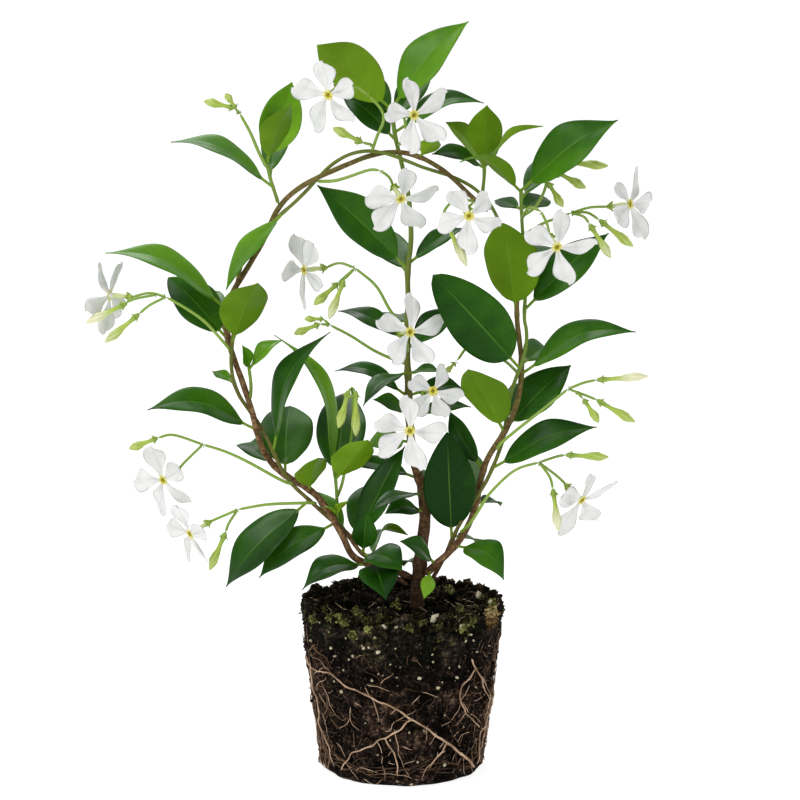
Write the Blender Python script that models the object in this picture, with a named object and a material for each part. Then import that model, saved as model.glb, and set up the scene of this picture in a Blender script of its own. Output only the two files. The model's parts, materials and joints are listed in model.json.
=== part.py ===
"""Star jasmine in flower: its stems are twined into a hoop and it stands on its bare root ball.

Metres, +Z up, -Y towards the viewer. The origin is the middle of the root ball's flat
underside. The plant is set out as it is seen from the front: a place is written as
(across, up, near) in millimetres, across from the root ball's axis and up from its
underside as they look from the viewer's eye, and near for how far in front of the
hoop's plane it lies. point() turns such a place into metres.
"""

import math
import random
from collections import namedtuple

import bpy
import numpy as np

MM = 0.001
GAP = 0.3 * MM

# A direction that no stem, stalk or bud runs along.
HELPER = (0.31, 0.87, 0.38)

# The viewer's eye, which the places are read from.
EYE_DISTANCE = 1.5
EYE_TILT = math.radians(11)
LOOKED_AT = np.array([-0.8, 0.0, 151.2]) * MM
SEEN_CENTRE = np.array([-0.8, 145.6]) * MM

# Root ball: a nine-centimetre pot's soil, wider at the top.
BALL_HEIGHT = 65.5 * MM
BALL_TOP_RADIUS = 41.3 * MM
BALL_BASE_RADIUS = 33.2 * MM
BALL_CHAMFER = 3 * MM
BALL_SIDES = 28
BALL_ROWS = 7
RIM_SETBACK = 0.5 * MM
TOP_RINGS = (0.94, 0.8, 0.66, 0.52, 0.38, 0.27)

# Relief of the ball's side: each wave's turns round the ball, its radians up the ball,
# its shift and its share of the roughness, and how far the whole is sunk.
BALL_ROUGHNESS = 0.55 * MM
SIDE_WAVES = ((7, 9, 0, 0.5), (12, -17, 1, 0.5), (19, 31, 0, 0.33))
SIDE_SINK = 0.6

# The soil's top: heaps about 17 mm apart, and a rim that stands up at both sides and
# behind and sinks a little in front.
CLUMP_HEIGHT = 1.5 * MM
CLUMP_WAVES = (2.7 * MM, 3.1 * MM)
CLUMP_SHIFTS = (1.3, 0.4)
RIM_SIDE_RISE = 3.4 * MM
RIM_BACK_RISE = 2.0 * MM
RIM_FRONT_DROP = 0.6 * MM
RIM_WAVES = 9
RIM_WAVE_HEIGHT = 0.8 * MM

# The crown stands in a plain hole in the soil.
CROWN_PLACE = (6, 64.6, 0)
CROWN_RADIUS = 3.3 * MM
CROWN_DEPTH = 9 * MM
HOLE_SIDES = 16

# Roots lying on the ball's side.
ROOT_RADII = (0.75 * MM, 0.5 * MM)
ROOT_SIDES = 4
ROOT_STEP = 11 * MM
ROOT_LIFT = 0.55 * MM
MATTED_RING_HEIGHT = 7
MATTED_RING_WANDER = 1.5
MATTED_RING_WAVES = 5
MATTED_RING_POINTS = 30
ROOT_END_HEIGHT = 4.5
HIDDEN_ROOTS = 5
HIDDEN_FROM = 100
HIDDEN_SPREAD = 160
HIDDEN_TOPS = (30, 52)
HIDDEN_TURN = 22
HIDDEN_FALLS = (8, 13)
ROOT_SEED = 4

# Stems. The hoop is two strands wound round each other. A stem's flat faces lie a share
# of its radius out, and one that springs from another starts just clear of them.
STEM_SIDES = 5
STEM_STEP = 8 * MM
FINE_STEP = 0.5 * MM
FLATS_SHARE = 0.86
RIM_POINTS = 8
LEAVING_SHARE = 0.4
TWIST_LENGTH = 56 * MM
TWIST_START = math.radians(200)
CENTRE_RADII = tuple(
    r * MM for r in (3.3, 3.3, 2.9, 2.4, 2.0, 1.7, 1.45, 1.3, 1.2, 1.1, 1.0, 0.9)
)
WOOD_RADII = (1.7 * MM, 1.05 * MM)
TWINER_RADII = (1.0 * MM, 0.8 * MM)
TWIG_RADII = (0.9 * MM, 0.7 * MM)
STALK_RADII = (0.7 * MM, 0.55 * MM)
STALK_SIDES = 4
BUD_SIDES = 5
STALK_STEP = 10 * MM

# Bud: a place along it as a share of its length, and its radius there in millimetres.
# A bud shorter than a full one is slimmer, down to this share.
BUD_PROFILE = ((0, 0.6), (0.1, 1.3), (0.22, 0.85), (0.46, 1.15), (0.66, 1.7), (1, 0.3))
FULL_BUD = 13 * MM
BUD_SLIMNESS = 0.45

# Where the hoop's strands end, and where the right twiner leaves the hoop.
LEFT_WOOD_END = (35.5, 221.2)
RIGHT_WOOD_END = (41.5, 211)
LEFT_TWINER_END = (43.2, 205.6)
RIGHT_TWINER_LEAVES = (47.5, 178)

# Leaf: a petiole, then a blade folded up along its midrib.
BLADE_THICKNESS = 0.6 * MM
PETIOLE_RADIUS = 0.65 * MM
PETIOLE_SHARE = 0.1
FOLD = math.radians(17)
BLADE_STATIONS = (0.1, 0.34, 0.6, 0.83)
SMALL_BLADE_STATIONS = (0.13, 0.44, 0.77)
SMALL_BLADE = 14
ARCH_PLACE = 1.3
LEAF_REACH = 5 * MM

# A blade's outline: how far down it is widest, how full it is, how drawn out its end is,
# and how full a blunt one is.
WIDEST_PLACE = 0.85
BLADE_FULLNESS = 0.8
END_DRAWN_OUT = 0.6
BLUNT_FULLNESS = 0.6

# Bloom: a slim tube that opens into five petals turned like a propeller. A petal's
# outline is its distance out and its edges before and after its middle line, as
# shares of its reach.
PETALS = 5
TUBE_LENGTH = 8 * MM
TUBE_PROFILE = ((2.5 * MM, 1.1 * MM), (TUBE_LENGTH, 0.9 * MM))
THROAT_DEPTH = 0.1 * MM
CALYX_LENGTH = 2.6 * MM
CALYX_RADII = (0.7 * MM, 1.25 * MM, 1.15 * MM)
STALK_SINK = 0.2
PETAL_THICKNESS = 0.6 * MM
PETAL_TWIST = math.radians(18)
PETAL_OUTLINE = ((0.09, 0.05, 0.05), (0.34, 0.11, 0.14), (0.76, 0.2, 0.34), (1.0, 0.04, 0.24))
SHARP_FROM = math.radians(40)
FLAT_WITHIN = math.radians(1)

# Roots seen on the ball's side, each from its thick end: degrees round from the
# front, to the right, and millimetres up.
SEEN_ROOTS = (
    ((-84, 47), (-70, 43.7), (-50, 45), (-28, 40), (-8, 35), (11, 27), (33, 16.6), (58, 4.5)),
    ((-75, 46), (-70, 36), (-65, 21), (-53, 4.5)),
    ((7, 29.6), (-11, 21), (-36, 12), (-46, 4.5)),
    ((-11, 21.4), (-5, 14), (-2, 4.5)),
    ((44, 52), (56, 41), (71, 29), (72, 16), (66, 4.5)),
    ((49, 47), (38, 38), (43, 30), (58, 22), (73, 17)),
    ((31, 18), (22, 11), (13, 4.5)),
)

HOOP = (
    (3.2, 73.0, 0.5), (-6.8, 78.4, 3), (-17.6, 83.6, 4), (-22.8, 91.6, 4),
    (-28.8, 98.8, 3), (-35.6, 106.4, 2), (-46.8, 115.6, 1), (-53.2, 124.8, 0),
    (-58.8, 137.6, 0), (-64.4, 149.6, 0), (-67.6, 160.8, 0), (-68.8, 173.6, 0),
    (-67.6, 186.8, 0), (-62.4, 200.4, 0), (-56, 210.8, 0), (-48, 222, 0),
    (-36.4, 232.4, 0), (-25.2, 240, 0), (-14.4, 244, 0), (-3.2, 244, 0),
    (8.4, 240.4, 0), (22.4, 233.2, 0), (35.2, 221.6, 0), (43.2, 205.6, 0),
    (46.4, 185.6, 0), (48.4, 167.6, 0), (46, 151.6, 0), (41.2, 133.6, 1),
    (35.6, 121.2, 1), (32, 112, 2), (26.8, 99.6, 3), (19.6, 86.8, 3), (9.6, 73.4, 1),
)  # fmt: skip

CENTRE_STEM = (
    (6, 66, 0), (6.4, 72, 0), (7.2, 80.8, 0), (8.8, 94, -1), (9.2, 100.8, -1),
    (8, 110.8, -2), (5.2, 119.6, -3), (3.6, 129.6, -3), (2.8, 141.6, -3),
    (2.4, 155.6, -4), (2, 167.6, -4), (2.4, 185.6, -5), (2.3, 197.6, -5),
    (3.6, 209.6, -6), (2.8, 225.6, -7), (0, 239.6, -8), (-2.4, 249.6, -7),
    (-4.4, 262.4, -5),
)  # fmt: skip

TWINER_TIP = ((49.4, 190, -4), (49.4, 200, -3), (48.4, 211, -1), (47.8, 221, 0), (47.6, 230, 0))

# Leaf: where it leaves its stem, its tip, its width in millimetres, the way its upper
# side looks (right, near, up), how far its midrib arches above the straight line, and how
# blunt its end is, from 0 for a long point to 1 for a round end.
Leaf = namedtuple("Leaf", "base tip width face arch blunt")

HOOP_LEAVES = (
    # Up the left side.
    Leaf((-13.2, 82), (-40.0, 69.6, 14), 15, (0, 0.35, 0.9), 6, 0),
    Leaf((-12, 80.5), (-6.4, 65.8, 27), 16, (0, 0.6, 0.75), 3, 0.3),
    Leaf((-16, 83.2), (0, 77.6, 21), 16, (0.1, 0.6, 0.75), 3, 0.6),
    Leaf((-16, 84), (-14.4, 101.6, 9), 10, (0, 0.9, 0.3), 2, 0.5),
    Leaf((-12.8, 82.4), (2.4, 91.6, -9), 13, (0, -0.5, 0.8), 7, 0.6),
    Leaf((-20, 88), (1.2, 127.2, -4), 14, (-0.4, 0.75, 0.4), 2, 0.2),
    Leaf((-27, 96.5), (-57.2, 74.4, 10), 15, (-0.2, 0.6, 0.7), 5, 0.1),
    Leaf((-22, 92), (-35.6, 109.6, -16), 8, (0, 0.4, 0.9), 2, 0),
    Leaf((-37, 106), (-70.4, 70.8, 3), 18, (-0.3, 0.7, 0.6), 5, 0.2),
    Leaf((-38, 108), (-33.6, 122.4, 22), 14, (-0.4, -0.6, 0.6), 1, 0.6),
    Leaf((-47, 115.6), (-44.8, 143.2, -34), 22, (0, 0.75, 0.6), 3, 0.8),
    Leaf((-53, 124.6), (-28.8, 172.8, 6), 16, (-0.6, 0.5, 0.6), 9, 0),
    Leaf((-58, 134), (-102, 141.6, 8), 17, (0, 0.5, 0.85), 8, 0.1),
    Leaf((-65.4, 153), (-76, 157, -7), 6, (0, 0.4, 0.9), 1, 0),
    Leaf((-69, 170), (-93.6, 194.6, -14), 18, (0.3, 0.8, 0.5), 3, 0.8),
    Leaf((-68.6, 169), (-57.6, 192.4, 26), 19, (-0.2, -0.75, 0.6), 2, 0.5),
    Leaf((-68.4, 182), (-118.8, 204.4, 9), 16, (0, 0.45, 0.9), 8, 0),
    Leaf((-48, 222), (-70.4, 189.6, 9), 13, (-0.75, 0.55, 0.3), 3, 0.2),
    # Down the right side.
    Leaf((6.4, 241.4), (14.4, 249.6, 11), 8, (0.2, -0.5, 0.8), 1, 0.5),
    Leaf((47.6, 180), (40.4, 216.4, 12), 24, (0.3, -0.7, 0.6), 2, 0.9),
    Leaf((47.6, 182), (82.8, 212.4, -12), 15, (0, 0.8, 0.5), 4, 0.2),
    Leaf((47.6, 158), (12.4, 195.6, 16), 23, (-0.1, 0.9, 0.3), 3, 1),
    Leaf((47.4, 156), (93.6, 172.8, 4), 16, (0, 0.5, 0.85), 8, 0.1),
    Leaf((41, 132.6), (26.4, 157.8, 25), 19, (0.2, -0.7, 0.6), 2, 0.7),
    Leaf((41.6, 134), (67.6, 159.6, -14), 17, (-0.3, 0.8, 0.5), 2, 0.4),
    Leaf((35, 119), (78, 134.8, 4), 15, (0, 0.65, 0.75), 6, 0.2),
    Leaf((34, 117), (18.8, 141.6, -16), 9, (-0.6, 0.3, 0.7), 2, 0.2),
    Leaf((29, 104.4), (39.6, 103.2, -14), 8, (0, 0.4, 0.9), 2, 0),
    Leaf((21, 89), (18, 132.8, 5), 21, (0, 0.95, 0.2), 2, 0.7),
    Leaf((20.6, 88), (40.8, 73.6, 15), 15, (0.1, 0.55, 0.8), 7, 0.4),
    Leaf((14, 79), (-0.8, 89.2, 12), 11, (0.1, 0.6, 0.8), 2, 0.4),
    Leaf((12.4, 76.6), (8.8, 66, 15), 6, (0.2, 0.6, 0.7), 1, 0.2),
    # Behind, out of the viewer's sight.
    Leaf((-21, 90), (-8, 112, -24), 15, (0, 0.3, 0.9), 4, 0.3),
    Leaf((-69, 172), (-85, 184, -40), 13, (0, 0.2, 0.9), 8, 0.3),
    Leaf((-50, 120), (-62, 126, -30), 15, (-0.2, 0.2, 0.9), 6, 0.3),
    Leaf((47.8, 160), (59, 162, -38), 14, (0.3, 0.1, 0.9), 6, 0.3),
    Leaf((43, 139), (58, 146, -44), 16, (0, 0.3, 0.9), 6, 0.3),
    Leaf((30, 107), (20, 124, -30), 17, (0, 0.3, 0.9), 3, 0.3),
    Leaf((22, 91), (33.6, 79.6, -26), 11, (0.1, 0.2, 0.9), 5, 0.3),
    Leaf((44.6, 200), (64, 205, -38), 15, (0, 0.3, 0.9), 2, 0.3),
)

CENTRE_LEAVES = (
    Leaf((2.3, 198), (-34, 231.6, -5), 19, (0.3, 0.8, 0.5), 2, 0.3),
    Leaf((2.6, 200), (25.6, 214.4, -14), 10, (-0.2, 0.5, 0.8), 3, 0.2),
    Leaf((2, 169.2), (-25.6, 181.2, -16), 10, (0, 0.5, 0.85), 4, 0),
    Leaf((2, 166), (22, 182, -14), 12, (0, 0.6, 0.7), 3, 0.2),
    Leaf((2.4, 157), (-15.6, 143.2, 17), 10, (-0.3, 0.5, 0.8), 4, 0),
    Leaf((2.4, 156), (15.2, 156.8, 7), 7, (0, 0.5, 0.8), 2, 0),
    Leaf((2.6, 147), (-26.8, 157.2, -8), 10, (0, 0.4, 0.9), 6, 0.1),
    Leaf((2.6, 147.6), (25.2, 149.6, -9), 10, (0, 0.6, 0.7), 4, 0.1),
    Leaf((2.8, 140), (-11.6, 145.8, 5), 9, (0, 0.6, 0.7), 2, 0.3),
    Leaf((2.8, 139), (27.6, 142.8, -12), 8, (0, 0.5, 0.8), 3, 0.2),
    Leaf((3.6, 129), (-14.4, 127.4, 4), 11, (0, 0.7, 0.6), 3, 0.3),
    Leaf((7, 114), (-22.4, 120.2, -14), 9, (0, 0.5, 0.8), 3, 0.2),
    Leaf((8.4, 108.5), (-12, 101, 25), 9, (-0.2, 0.5, 0.8), 3, 0.3),
    Leaf((9.2, 100.8), (-6.8, 100.2, 15), 11, (0, 0.6, 0.7), 3, 0.5),
    Leaf((7.2, 80), (0.6, 79.2, -14), 8, (0, 0.3, 0.9), 2, 0.2),
    Leaf((-4.3, 262), (-34, 287.6, 8), 20, (-0.3, -0.7, 0.6), 5, 0.6),
    Leaf((-4.3, 262), (26.8, 297.2, -10), 19, (-0.3, 0.7, 0.6), 4, 0.1),
    Leaf((-2.4, 249.4), (-24.4, 267.4, -19), 13, (0, 0.6, 0.7), 3, 0.2),
    Leaf((-3, 252.6), (32.8, 264.4, -12), 13, (0, 0.45, 0.9), 7, 0.1),
    # Behind.
    Leaf((2.4, 196), (-14, 214, -36), 16, (0, 0.3, 0.9), 2, 0.3),
    Leaf((2.2, 176), (-2, 174, -42), 14, (0, 0.3, 0.9), 5, 0.3),
    Leaf((-3.6, 257), (11, 279, -32), 12, (0, 0.5, 0.9), 2, 0.3),
    Leaf((8.6, 104), (16, 112, -38), 15, (0, 0.3, 0.9), 7, 0.3),
    Leaf((-4, 259), (-19, 276, -26), 11, (0, 0.3, 0.9), 3, 0.3),
)

# Twig: the stem it springs from, its course and its leaves.
Twig = namedtuple("Twig", "parent course leaves")

TWIGS = {
    "low_left_twig": Twig(
        "hoop",
        ((-26, 96.4, 3), (-26, 105, 4), (-26.6, 114.5, 5)),
        (
            Leaf((-26.6, 114), (-13.6, 129.6, 24), 16, (0.1, -0.35, 0.9), 0, 0.7),
            Leaf((-26.6, 114), (-22.8, 148.4, -26), 20, (0, 0.75, 0.6), 3, 0.9),
            Leaf((-26.6, 113.6), (-51, 171.6, -4), 14, (0.5, 0.2, 0.85), 11, 0),
            Leaf((-26, 100), (-22, 105, 12), 6, (0, 0.2, 0.9), 1, 0.2),
            Leaf((-26, 100), (-31, 103, 12), 4, (0, 0.2, 0.9), 0.5, 0.2),
        ),
    ),
    "left_sprig": Twig(
        "hoop",
        ((-61, 144, 1), (-60.4, 151, 3), (-61.2, 158, 4)),
        (
            Leaf((-61.2, 158), (-47.6, 169.6, 5), 8, (0, 0.5, 0.8), 3, 0.1),
            Leaf((-61.2, 157.4), (-63.8, 167.6, 9), 6, (0.2, 0.6, 0.6), 1, 0.1),
        ),
    ),
    "top_left_twig": Twig(
        "hoop",
        ((-49.4, 224, 1), (-52.4, 233.4, 2), (-54.4, 241.2, 1)),
        (
            Leaf((-52, 231), (-92.4, 248.8, 2), 15, (0, 0.3, 0.95), 6, 0.1),
            Leaf((-54.2, 240.6), (-44, 272.8, -8), 17, (0.3, 0.9, 0.2), 2, 0.5),
            Leaf((-54, 240), (-44.4, 264, 14), 13, (-0.4, -0.7, 0.5), 2, 0.4),
            Leaf((-52.8, 234.6), (-47.6, 256, -30), 11, (0, 0.3, 0.9), 3, 0.3),
        ),
    ),
    "top_right_twig": Twig(
        "hoop",
        ((32, 227, -1), (32.8, 234, -3), (33, 240.6, -4)),
        (
            Leaf((33, 240), (34, 263.6, 4), 14, (0, -0.8, 0.3), 1, 0.4),
            Leaf((33, 239.6), (17.6, 256.8, -16), 13, (0.3, -0.7, 0.5), 2, 0.5),
            Leaf((33, 238.6), (12, 244, 10), 11, (0, 0.6, 0.8), 3, 0.3),
            Leaf((33, 240), (56.4, 255.2, -15), 11, (0.2, -0.5, 0.8), 4, 0.1),
            Leaf((32.9, 237), (33.6, 250, -38), 10, (0, 0.3, 0.9), 3, 0.3),
        ),
    ),
}

TWINER_TIP_LEAVES = (
    Leaf((47.6, 229.4), (86.4, 257.6, 6), 20, (-0.3, 0.75, 0.55), 5, 0.2),
    Leaf((47.6, 229), (23.2, 240.8, 20), 12, (0.2, -0.4, 0.9), 6, 0.5),
    Leaf((47.8, 222), (57.8, 226.4, -24), 11, (0, 0.7, 0.6), 1, 0.7),
    Leaf((47.8, 222), (37, 225.4, -20), 7, (0, 0.7, 0.6), 1, 0.3),
    Leaf((47.7, 226), (63.6, 244, -37), 11, (0, 0.3, 0.9), 3, 0.3),
)

# Bloom: middle of its face, the way it looks, the turn of its first petal and its
# petals' reach, in millimetres and degrees.
Bloom = namedtuple("Bloom", "middle face turn reach")

BLOOMS = {
    "bloom_top_left": Bloom((-29.6, 267.6, 14), (-0.4, 0.9, -0.2), 1, 15),
    "bloom_top": Bloom((4.8, 259.6, 20), (0.4, 0.9, 0.05), 5, 15.6),
    "bloom_under_arch": Bloom((-0.4, 226, 15), (0.3, 0.87, -0.4), -8, 15.4),
    "bloom_arch_right": Bloom((26.8, 219.2, 20), (0.05, 1, -0.15), 26, 14.2),
    "bloom_right": Bloom((62, 206.8, 23), (0.25, 0.93, -0.3), -20, 15.8),
    "bloom_far_right": Bloom((91.2, 224, 0), (0.8, 0.56, 0.18), -31, 15),
    "bloom_left_inner": Bloom((-39.2, 197.6, -3), (-0.83, 0.56, 0), 26, 15.2),
    "bloom_centre": Bloom((3.2, 172.8, 17), (0.4, 0.9, 0.17), -13, 15.4),
    "bloom_centre_small": Bloom((12.4, 149.2, 15), (0.35, 0.93, 0.1), -28, 12.4),
    "bloom_centre_low": Bloom((3.2, 133.2, 27), (0, 1, 0.15), -19, 15.2),
    "bloom_far_left": Bloom((-116.8, 187.6, 0), (-0.85, -0.5, 0), -30, 15),
    "bloom_left_low": Bloom((-95.6, 113.6, 10), (-0.58, 0.77, -0.26), 13, 15.2),
    "bloom_left_lowest": Bloom((-84.8, 92, 16), (-0.75, 0.56, -0.36), -2, 14.8),
    "bloom_right_low": Bloom((72, 105.6, 14), (0.6, 0.65, -0.45), -1, 15.8),
}

# Fork of a flower stalk: its course, then a bloom's name or a bud's tip.
Fork = namedtuple("Fork", "course end")
Spray = namedtuple("Spray", "parent course forks")

CENTRE_STALKS = {
    "stalk_top": Fork(((-1.8, 247.6, -7.5), (1.2, 249.6, 0), (1.4, 255.4, 6)), "bloom_top"),
    "stalk_centre": Fork(((2.2, 164.4, -4), (1.8, 168, 1)), "bloom_centre"),
    "stalk_centre_small": Fork(((3, 143.6, -3), (7, 145, 1)), "bloom_centre_small"),
    "stalk_centre_low": Fork(((3.2, 128.6, -3), (4.2, 129.2, 8)), "bloom_centre_low"),
}

SPRAYS = {
    "spray_top_left": Spray(
        "top_left_twig",
        ((-53.4, 237, 1), (-57.4, 245, 4), (-60.8, 252.8, 5), (-64.8, 260, 5)),
        (
            Fork(((-64.8, 260, 5), (-67, 262.4, 5)), (-79.2, 265.2, 5)),
            Fork(((-64.8, 260, 5), (-66.4, 262.2, 7)), (-70.6, 268.2, 10)),
        ),
    ),
    "spray_top": Spray(
        "hoop",
        ((-12.4, 244, 0), (-10, 251, 6), (-7.4, 257.4, 8), (-8.4, 262, 9),
         (-13.2, 267.2, 8)),
        (
            Fork(((-13.2, 267.2, 8), (-18, 270.5, 6.5)), "bloom_top_left"),
            Fork(((-11.4, 247.6, 3), (-16, 248.6, 6)), (-27.6, 254.4, 12)),
        ),
    ),
    "spray_under_arch": Spray(
        "hoop",
        ((-35, 233, 0), (-28, 233.2, 4), (-22.8, 234.4, 5), (-13.2, 237.6, 6),
         (-8.8, 237.4, 8)),
        (Fork(((-8.8, 237.4, 8), (-5.2, 234.8, 8)), "bloom_under_arch"),),
    ),
    "spray_arch_right": Spray(
        "hoop",
        ((35.2, 221.6, 0), (33.5, 224.4, 6), (29, 225, 9)),
        (
            Fork(((29, 225, 9), (27.4, 223.6, 9)), "bloom_arch_right"),
            Fork(((29, 225, 9), (22, 226, 9), (17, 221.4, 9.5), (17.4, 217, 10.5)),
                 (26, 199.2, 13)),
        ),
    ),
    "spray_right_front": Spray(
        "right_twiner",
        ((47.8, 218, 0), (51, 222.6, 7), (55.6, 221, 10)),
        (Fork(((55.6, 221, 10), (58, 216, 11.5)), "bloom_right"),),
    ),
    "spray_right_buds": Spray(
        "right_twiner",
        ((47.9, 219, 0), (53, 222.6, -3), (57, 229.5, -6.5), (58.5, 238, -7)),
        (
            Fork(((58.5, 238, -7), (63.6, 240.8, -7)), (82.4, 239.2, -5)),
            Fork(((58.5, 238, -7), (61.6, 237, -6)), (73.5, 230.4, -3)),
            Fork(((57.4, 233, -6.6), (58.4, 232.6, -4.6)), (64.4, 222.8, -1)),
        ),
    ),
    "spray_far_right": Spray(
        "right_twiner",
        ((48.2, 211, 1), (56, 216, -5), (67.6, 220.4, -7)),
        (
            Fork(((67.6, 220.4, -7), (75, 222.6, -4)), "bloom_far_right"),
            Fork(((67.6, 220.4, -7), (74, 220.6, -8), (79, 217.6, -8)), (92.4, 207, -8)),
            Fork(((67.6, 220.4, -7), (72.6, 219, -3), (75, 216, -1)), (83.6, 202.4, 1)),
        ),
    ),
    "spray_centre_left": Spray(
        "centre_stem",
        ((2, 172.5, -4), (-4.8, 181.6, -6), (-10.4, 191.2, -7), (-18.8, 198.4, -6)),
        (
            Fork(((-18.8, 198.4, -6), (-25, 200.4, -7)), "bloom_left_inner"),
            Fork(((-18.8, 198.4, -6), (-25.6, 192.4, -4)), (-35.2, 183.6, -1)),
            Fork(((-18.8, 198.4, -6), (-23.2, 193.6, -2)), (-29.2, 178, 3)),
        ),
    ),
    "spray_centre_left_low": Spray(
        "centre_stem",
        ((2.4, 160, -4), (-1.2, 161, -7), (-10.8, 165.2, -7), (-20.4, 171.2, -6),
         (-28.8, 175.6, -4)),
        (
            Fork(((-28.8, 175.6, -4), (-33, 176, -2)), (-43.2, 172, 0)),
            Fork(((-28.8, 175.6, -4), (-31.5, 178, -3)), (-39, 178, -2)),
        ),
    ),
    "spray_twig_buds": Spray(
        "low_left_twig",
        ((-26.3, 106, 4), (-24, 112, 1), (-22, 122, 3), (-20, 132, 6),
         (-19.5, 142, 12), (-20, 150.5, 16)),
        (
            Fork(((-20, 150.5, 16), (-21.4, 149.4, 18)), (-25.4, 134.4, 21)),
            Fork(((-20, 150.5, 16), (-18.6, 149.2, 17.5)), (-18.4, 131, 19)),
        ),
    ),
    "spray_far_left": Spray(
        "hoop",
        ((-68.2, 165, 0), (-71.6, 169, 6), (-78.8, 176.8, 8), (-86, 182, 9),
         (-94.4, 186.8, 8)),
        (
            Fork(((-94.4, 186.8, 8), (-101, 188.4, 6)), "bloom_far_left"),
            Fork(((-98, 187.8, 7), (-107, 186, 9.5), (-110, 184.4, 10)),
                 (-126.4, 176.4, 11)),
            Fork(((-94.4, 186.8, 8), (-100.8, 183.6, 10), (-105.2, 180, 10)),
                 (-118.8, 168.6, 11)),
        ),
    ),
    "spray_left_low": Spray(
        "hoop",
        ((-42, 111.6, 1), (-48, 113.4, 6), (-62, 121, 8), (-70.8, 125, 8),
         (-79.6, 127.8, 8)),
        (
            Fork(((-79.6, 127.8, 8), (-91.4, 131.6, 12), (-97.8, 130.4, 15)),
                 (-109.2, 126, 17)),
            Fork(((-79.6, 127.8, 8), (-84, 123.6, 5), (-87.8, 119.8, 3)), "bloom_left_low"),
        ),
    ),
    "spray_left_lowest": Spray(
        "hoop",
        ((-34, 104.4, 2), (-40, 104.4, 8), (-54, 103.8, 11), (-65.6, 101.8, 13)),
        (
            Fork(((-65.6, 101.8, 13), (-73, 98.6, 13)), "bloom_left_lowest"),
            Fork(((-65.6, 101.8, 13), (-69.2, 96.4, 11), (-70.6, 92.6, 10)),
                 (-77, 77.6, 11)),
        ),
    ),
    "spray_right": Spray(
        "hoop",
        ((37.4, 125, 1), (41, 129.6, 7), (57, 142.4, 10), (66.4, 150, 10)),
        (
            Fork(((66.4, 150, 10), (73, 152.6, 8), (78, 153.6, 7.5)), (98.4, 155.2, 7)),
            Fork(((66.4, 150, 10), (73.2, 147.6, 10), (78, 145.6, 9.5)), (93.2, 136.8, 9)),
            Fork(((69.6, 149, 10), (72.6, 146, 12)), (78.8, 136.6, 14)),
        ),
    ),
    "spray_right_low": Spray(
        "hoop",
        ((22.6, 92, 3), (27, 96, 9), (31, 102, 10), (34.6, 107.6, 10),
         (41.4, 114.6, 10), (47, 118.4, 10), (54.8, 120.6, 10)),
        (
            Fork(((54.8, 120.6, 10), (62, 123, 10), (65.6, 123.6, 10)),
                 (82.6, 122.8, 10)),
            Fork(((54.8, 120.6, 10), (59, 115, 14), (60.4, 110, 19)), (62.6, 93.2, 24)),
            Fork(((54.8, 120.6, 10), (61, 116, 8.6), (64.4, 113, 8)), "bloom_right_low"),
        ),
    ),
    "spray_behind_leaf": Spray(
        "hoop",
        ((46.8, 156, 0), (40, 162, -7), (28, 167.4, -7), (22, 161.4, -4)),
        (Fork(((22, 161.4, -4), (21.2, 160.6, -3.4)), (17.6, 156.6, 0)),),
    ),
}

# Colours: base colour and roughness of each finish.
FINISHES = {
    "soil": ((0.035, 0.022, 0.014), 0.95),
    "root": ((0.45, 0.26, 0.13), 0.8),
    "leaf": ((0.05, 0.2, 0.02), 0.35),
    "stalk": ((0.3, 0.42, 0.06), 0.5),
    "petal": ((0.88, 0.88, 0.86), 0.5),
}


def point(places):
    """World points, in metres, of places given as (across, up, near) in millimetres."""
    across, up, near = np.atleast_2d(np.asarray(places, float)).T * MM
    sight = np.array([0, math.cos(EYE_TILT), -math.sin(EYE_TILT)])
    rise = np.array([0, math.sin(EYE_TILT), math.cos(EYE_TILT)])
    eye = LOOKED_AT - sight * EYE_DISTANCE
    seen = LOOKED_AT + np.outer(across - SEEN_CENTRE[0], [1, 0, 0])
    seen = seen + np.outer(up - SEEN_CENTRE[1], rise)
    share = (-near - eye[1]) / (seen[:, 1] - eye[1])
    return eye + (seen - eye) * share[:, None]


def seen_from_front(points):
    """Across and up, in metres, at which the viewer sees world points."""
    sight = np.array([0, math.cos(EYE_TILT), -math.sin(EYE_TILT)])
    rise = np.array([0, math.sin(EYE_TILT), math.cos(EYE_TILT)])
    ray = np.atleast_2d(points) - (LOOKED_AT - sight * EYE_DISTANCE)
    away = ray @ sight
    across = ray[:, 0] * EYE_DISTANCE / away + SEEN_CENTRE[0]
    return np.stack([across, ray @ rise * EYE_DISTANCE / away + SEEN_CENTRE[1]], 1)


def unit(vector):
    """The vector at length 1."""
    return vector / np.linalg.norm(vector)


def way(right, near, up):
    """World direction of a way given as (right, near, up)."""
    return unit(np.array([right, -near, up], float))


def smooth(points, step=STEM_STEP):
    """Points about a step apart along the smooth curve through the given points."""
    points = np.asarray(points)
    padded = np.vstack([2 * points[0] - points[1], points, 2 * points[-1] - points[-2]])
    fine = []
    for a, b, c, d in zip(padded, padded[1:], padded[2:], padded[3:]):
        t = np.linspace(0, 1, 12, endpoint=False)[:, None]
        fine.append(
            b + (c - a) * t / 2 + (2 * a - 5 * b + 4 * c - d) * t**2 / 2
            + (3 * b - a - 3 * c + d) * t**3 / 2
        )
    fine = np.vstack(fine + [points[-1:]])
    run = np.concatenate([[0], np.cumsum(np.linalg.norm(np.diff(fine, axis=0), axis=1))])
    count = max(2, round(run[-1] / step) + 1)
    even = np.linspace(0, run[-1], count)
    return np.stack([np.interp(even, run, fine[:, k]) for k in range(3)], 1)


def tangents(path):
    """Unit direction of a path at each of its points."""
    along = np.gradient(path, axis=0)
    return along / np.linalg.norm(along, axis=1)[:, None]


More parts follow.
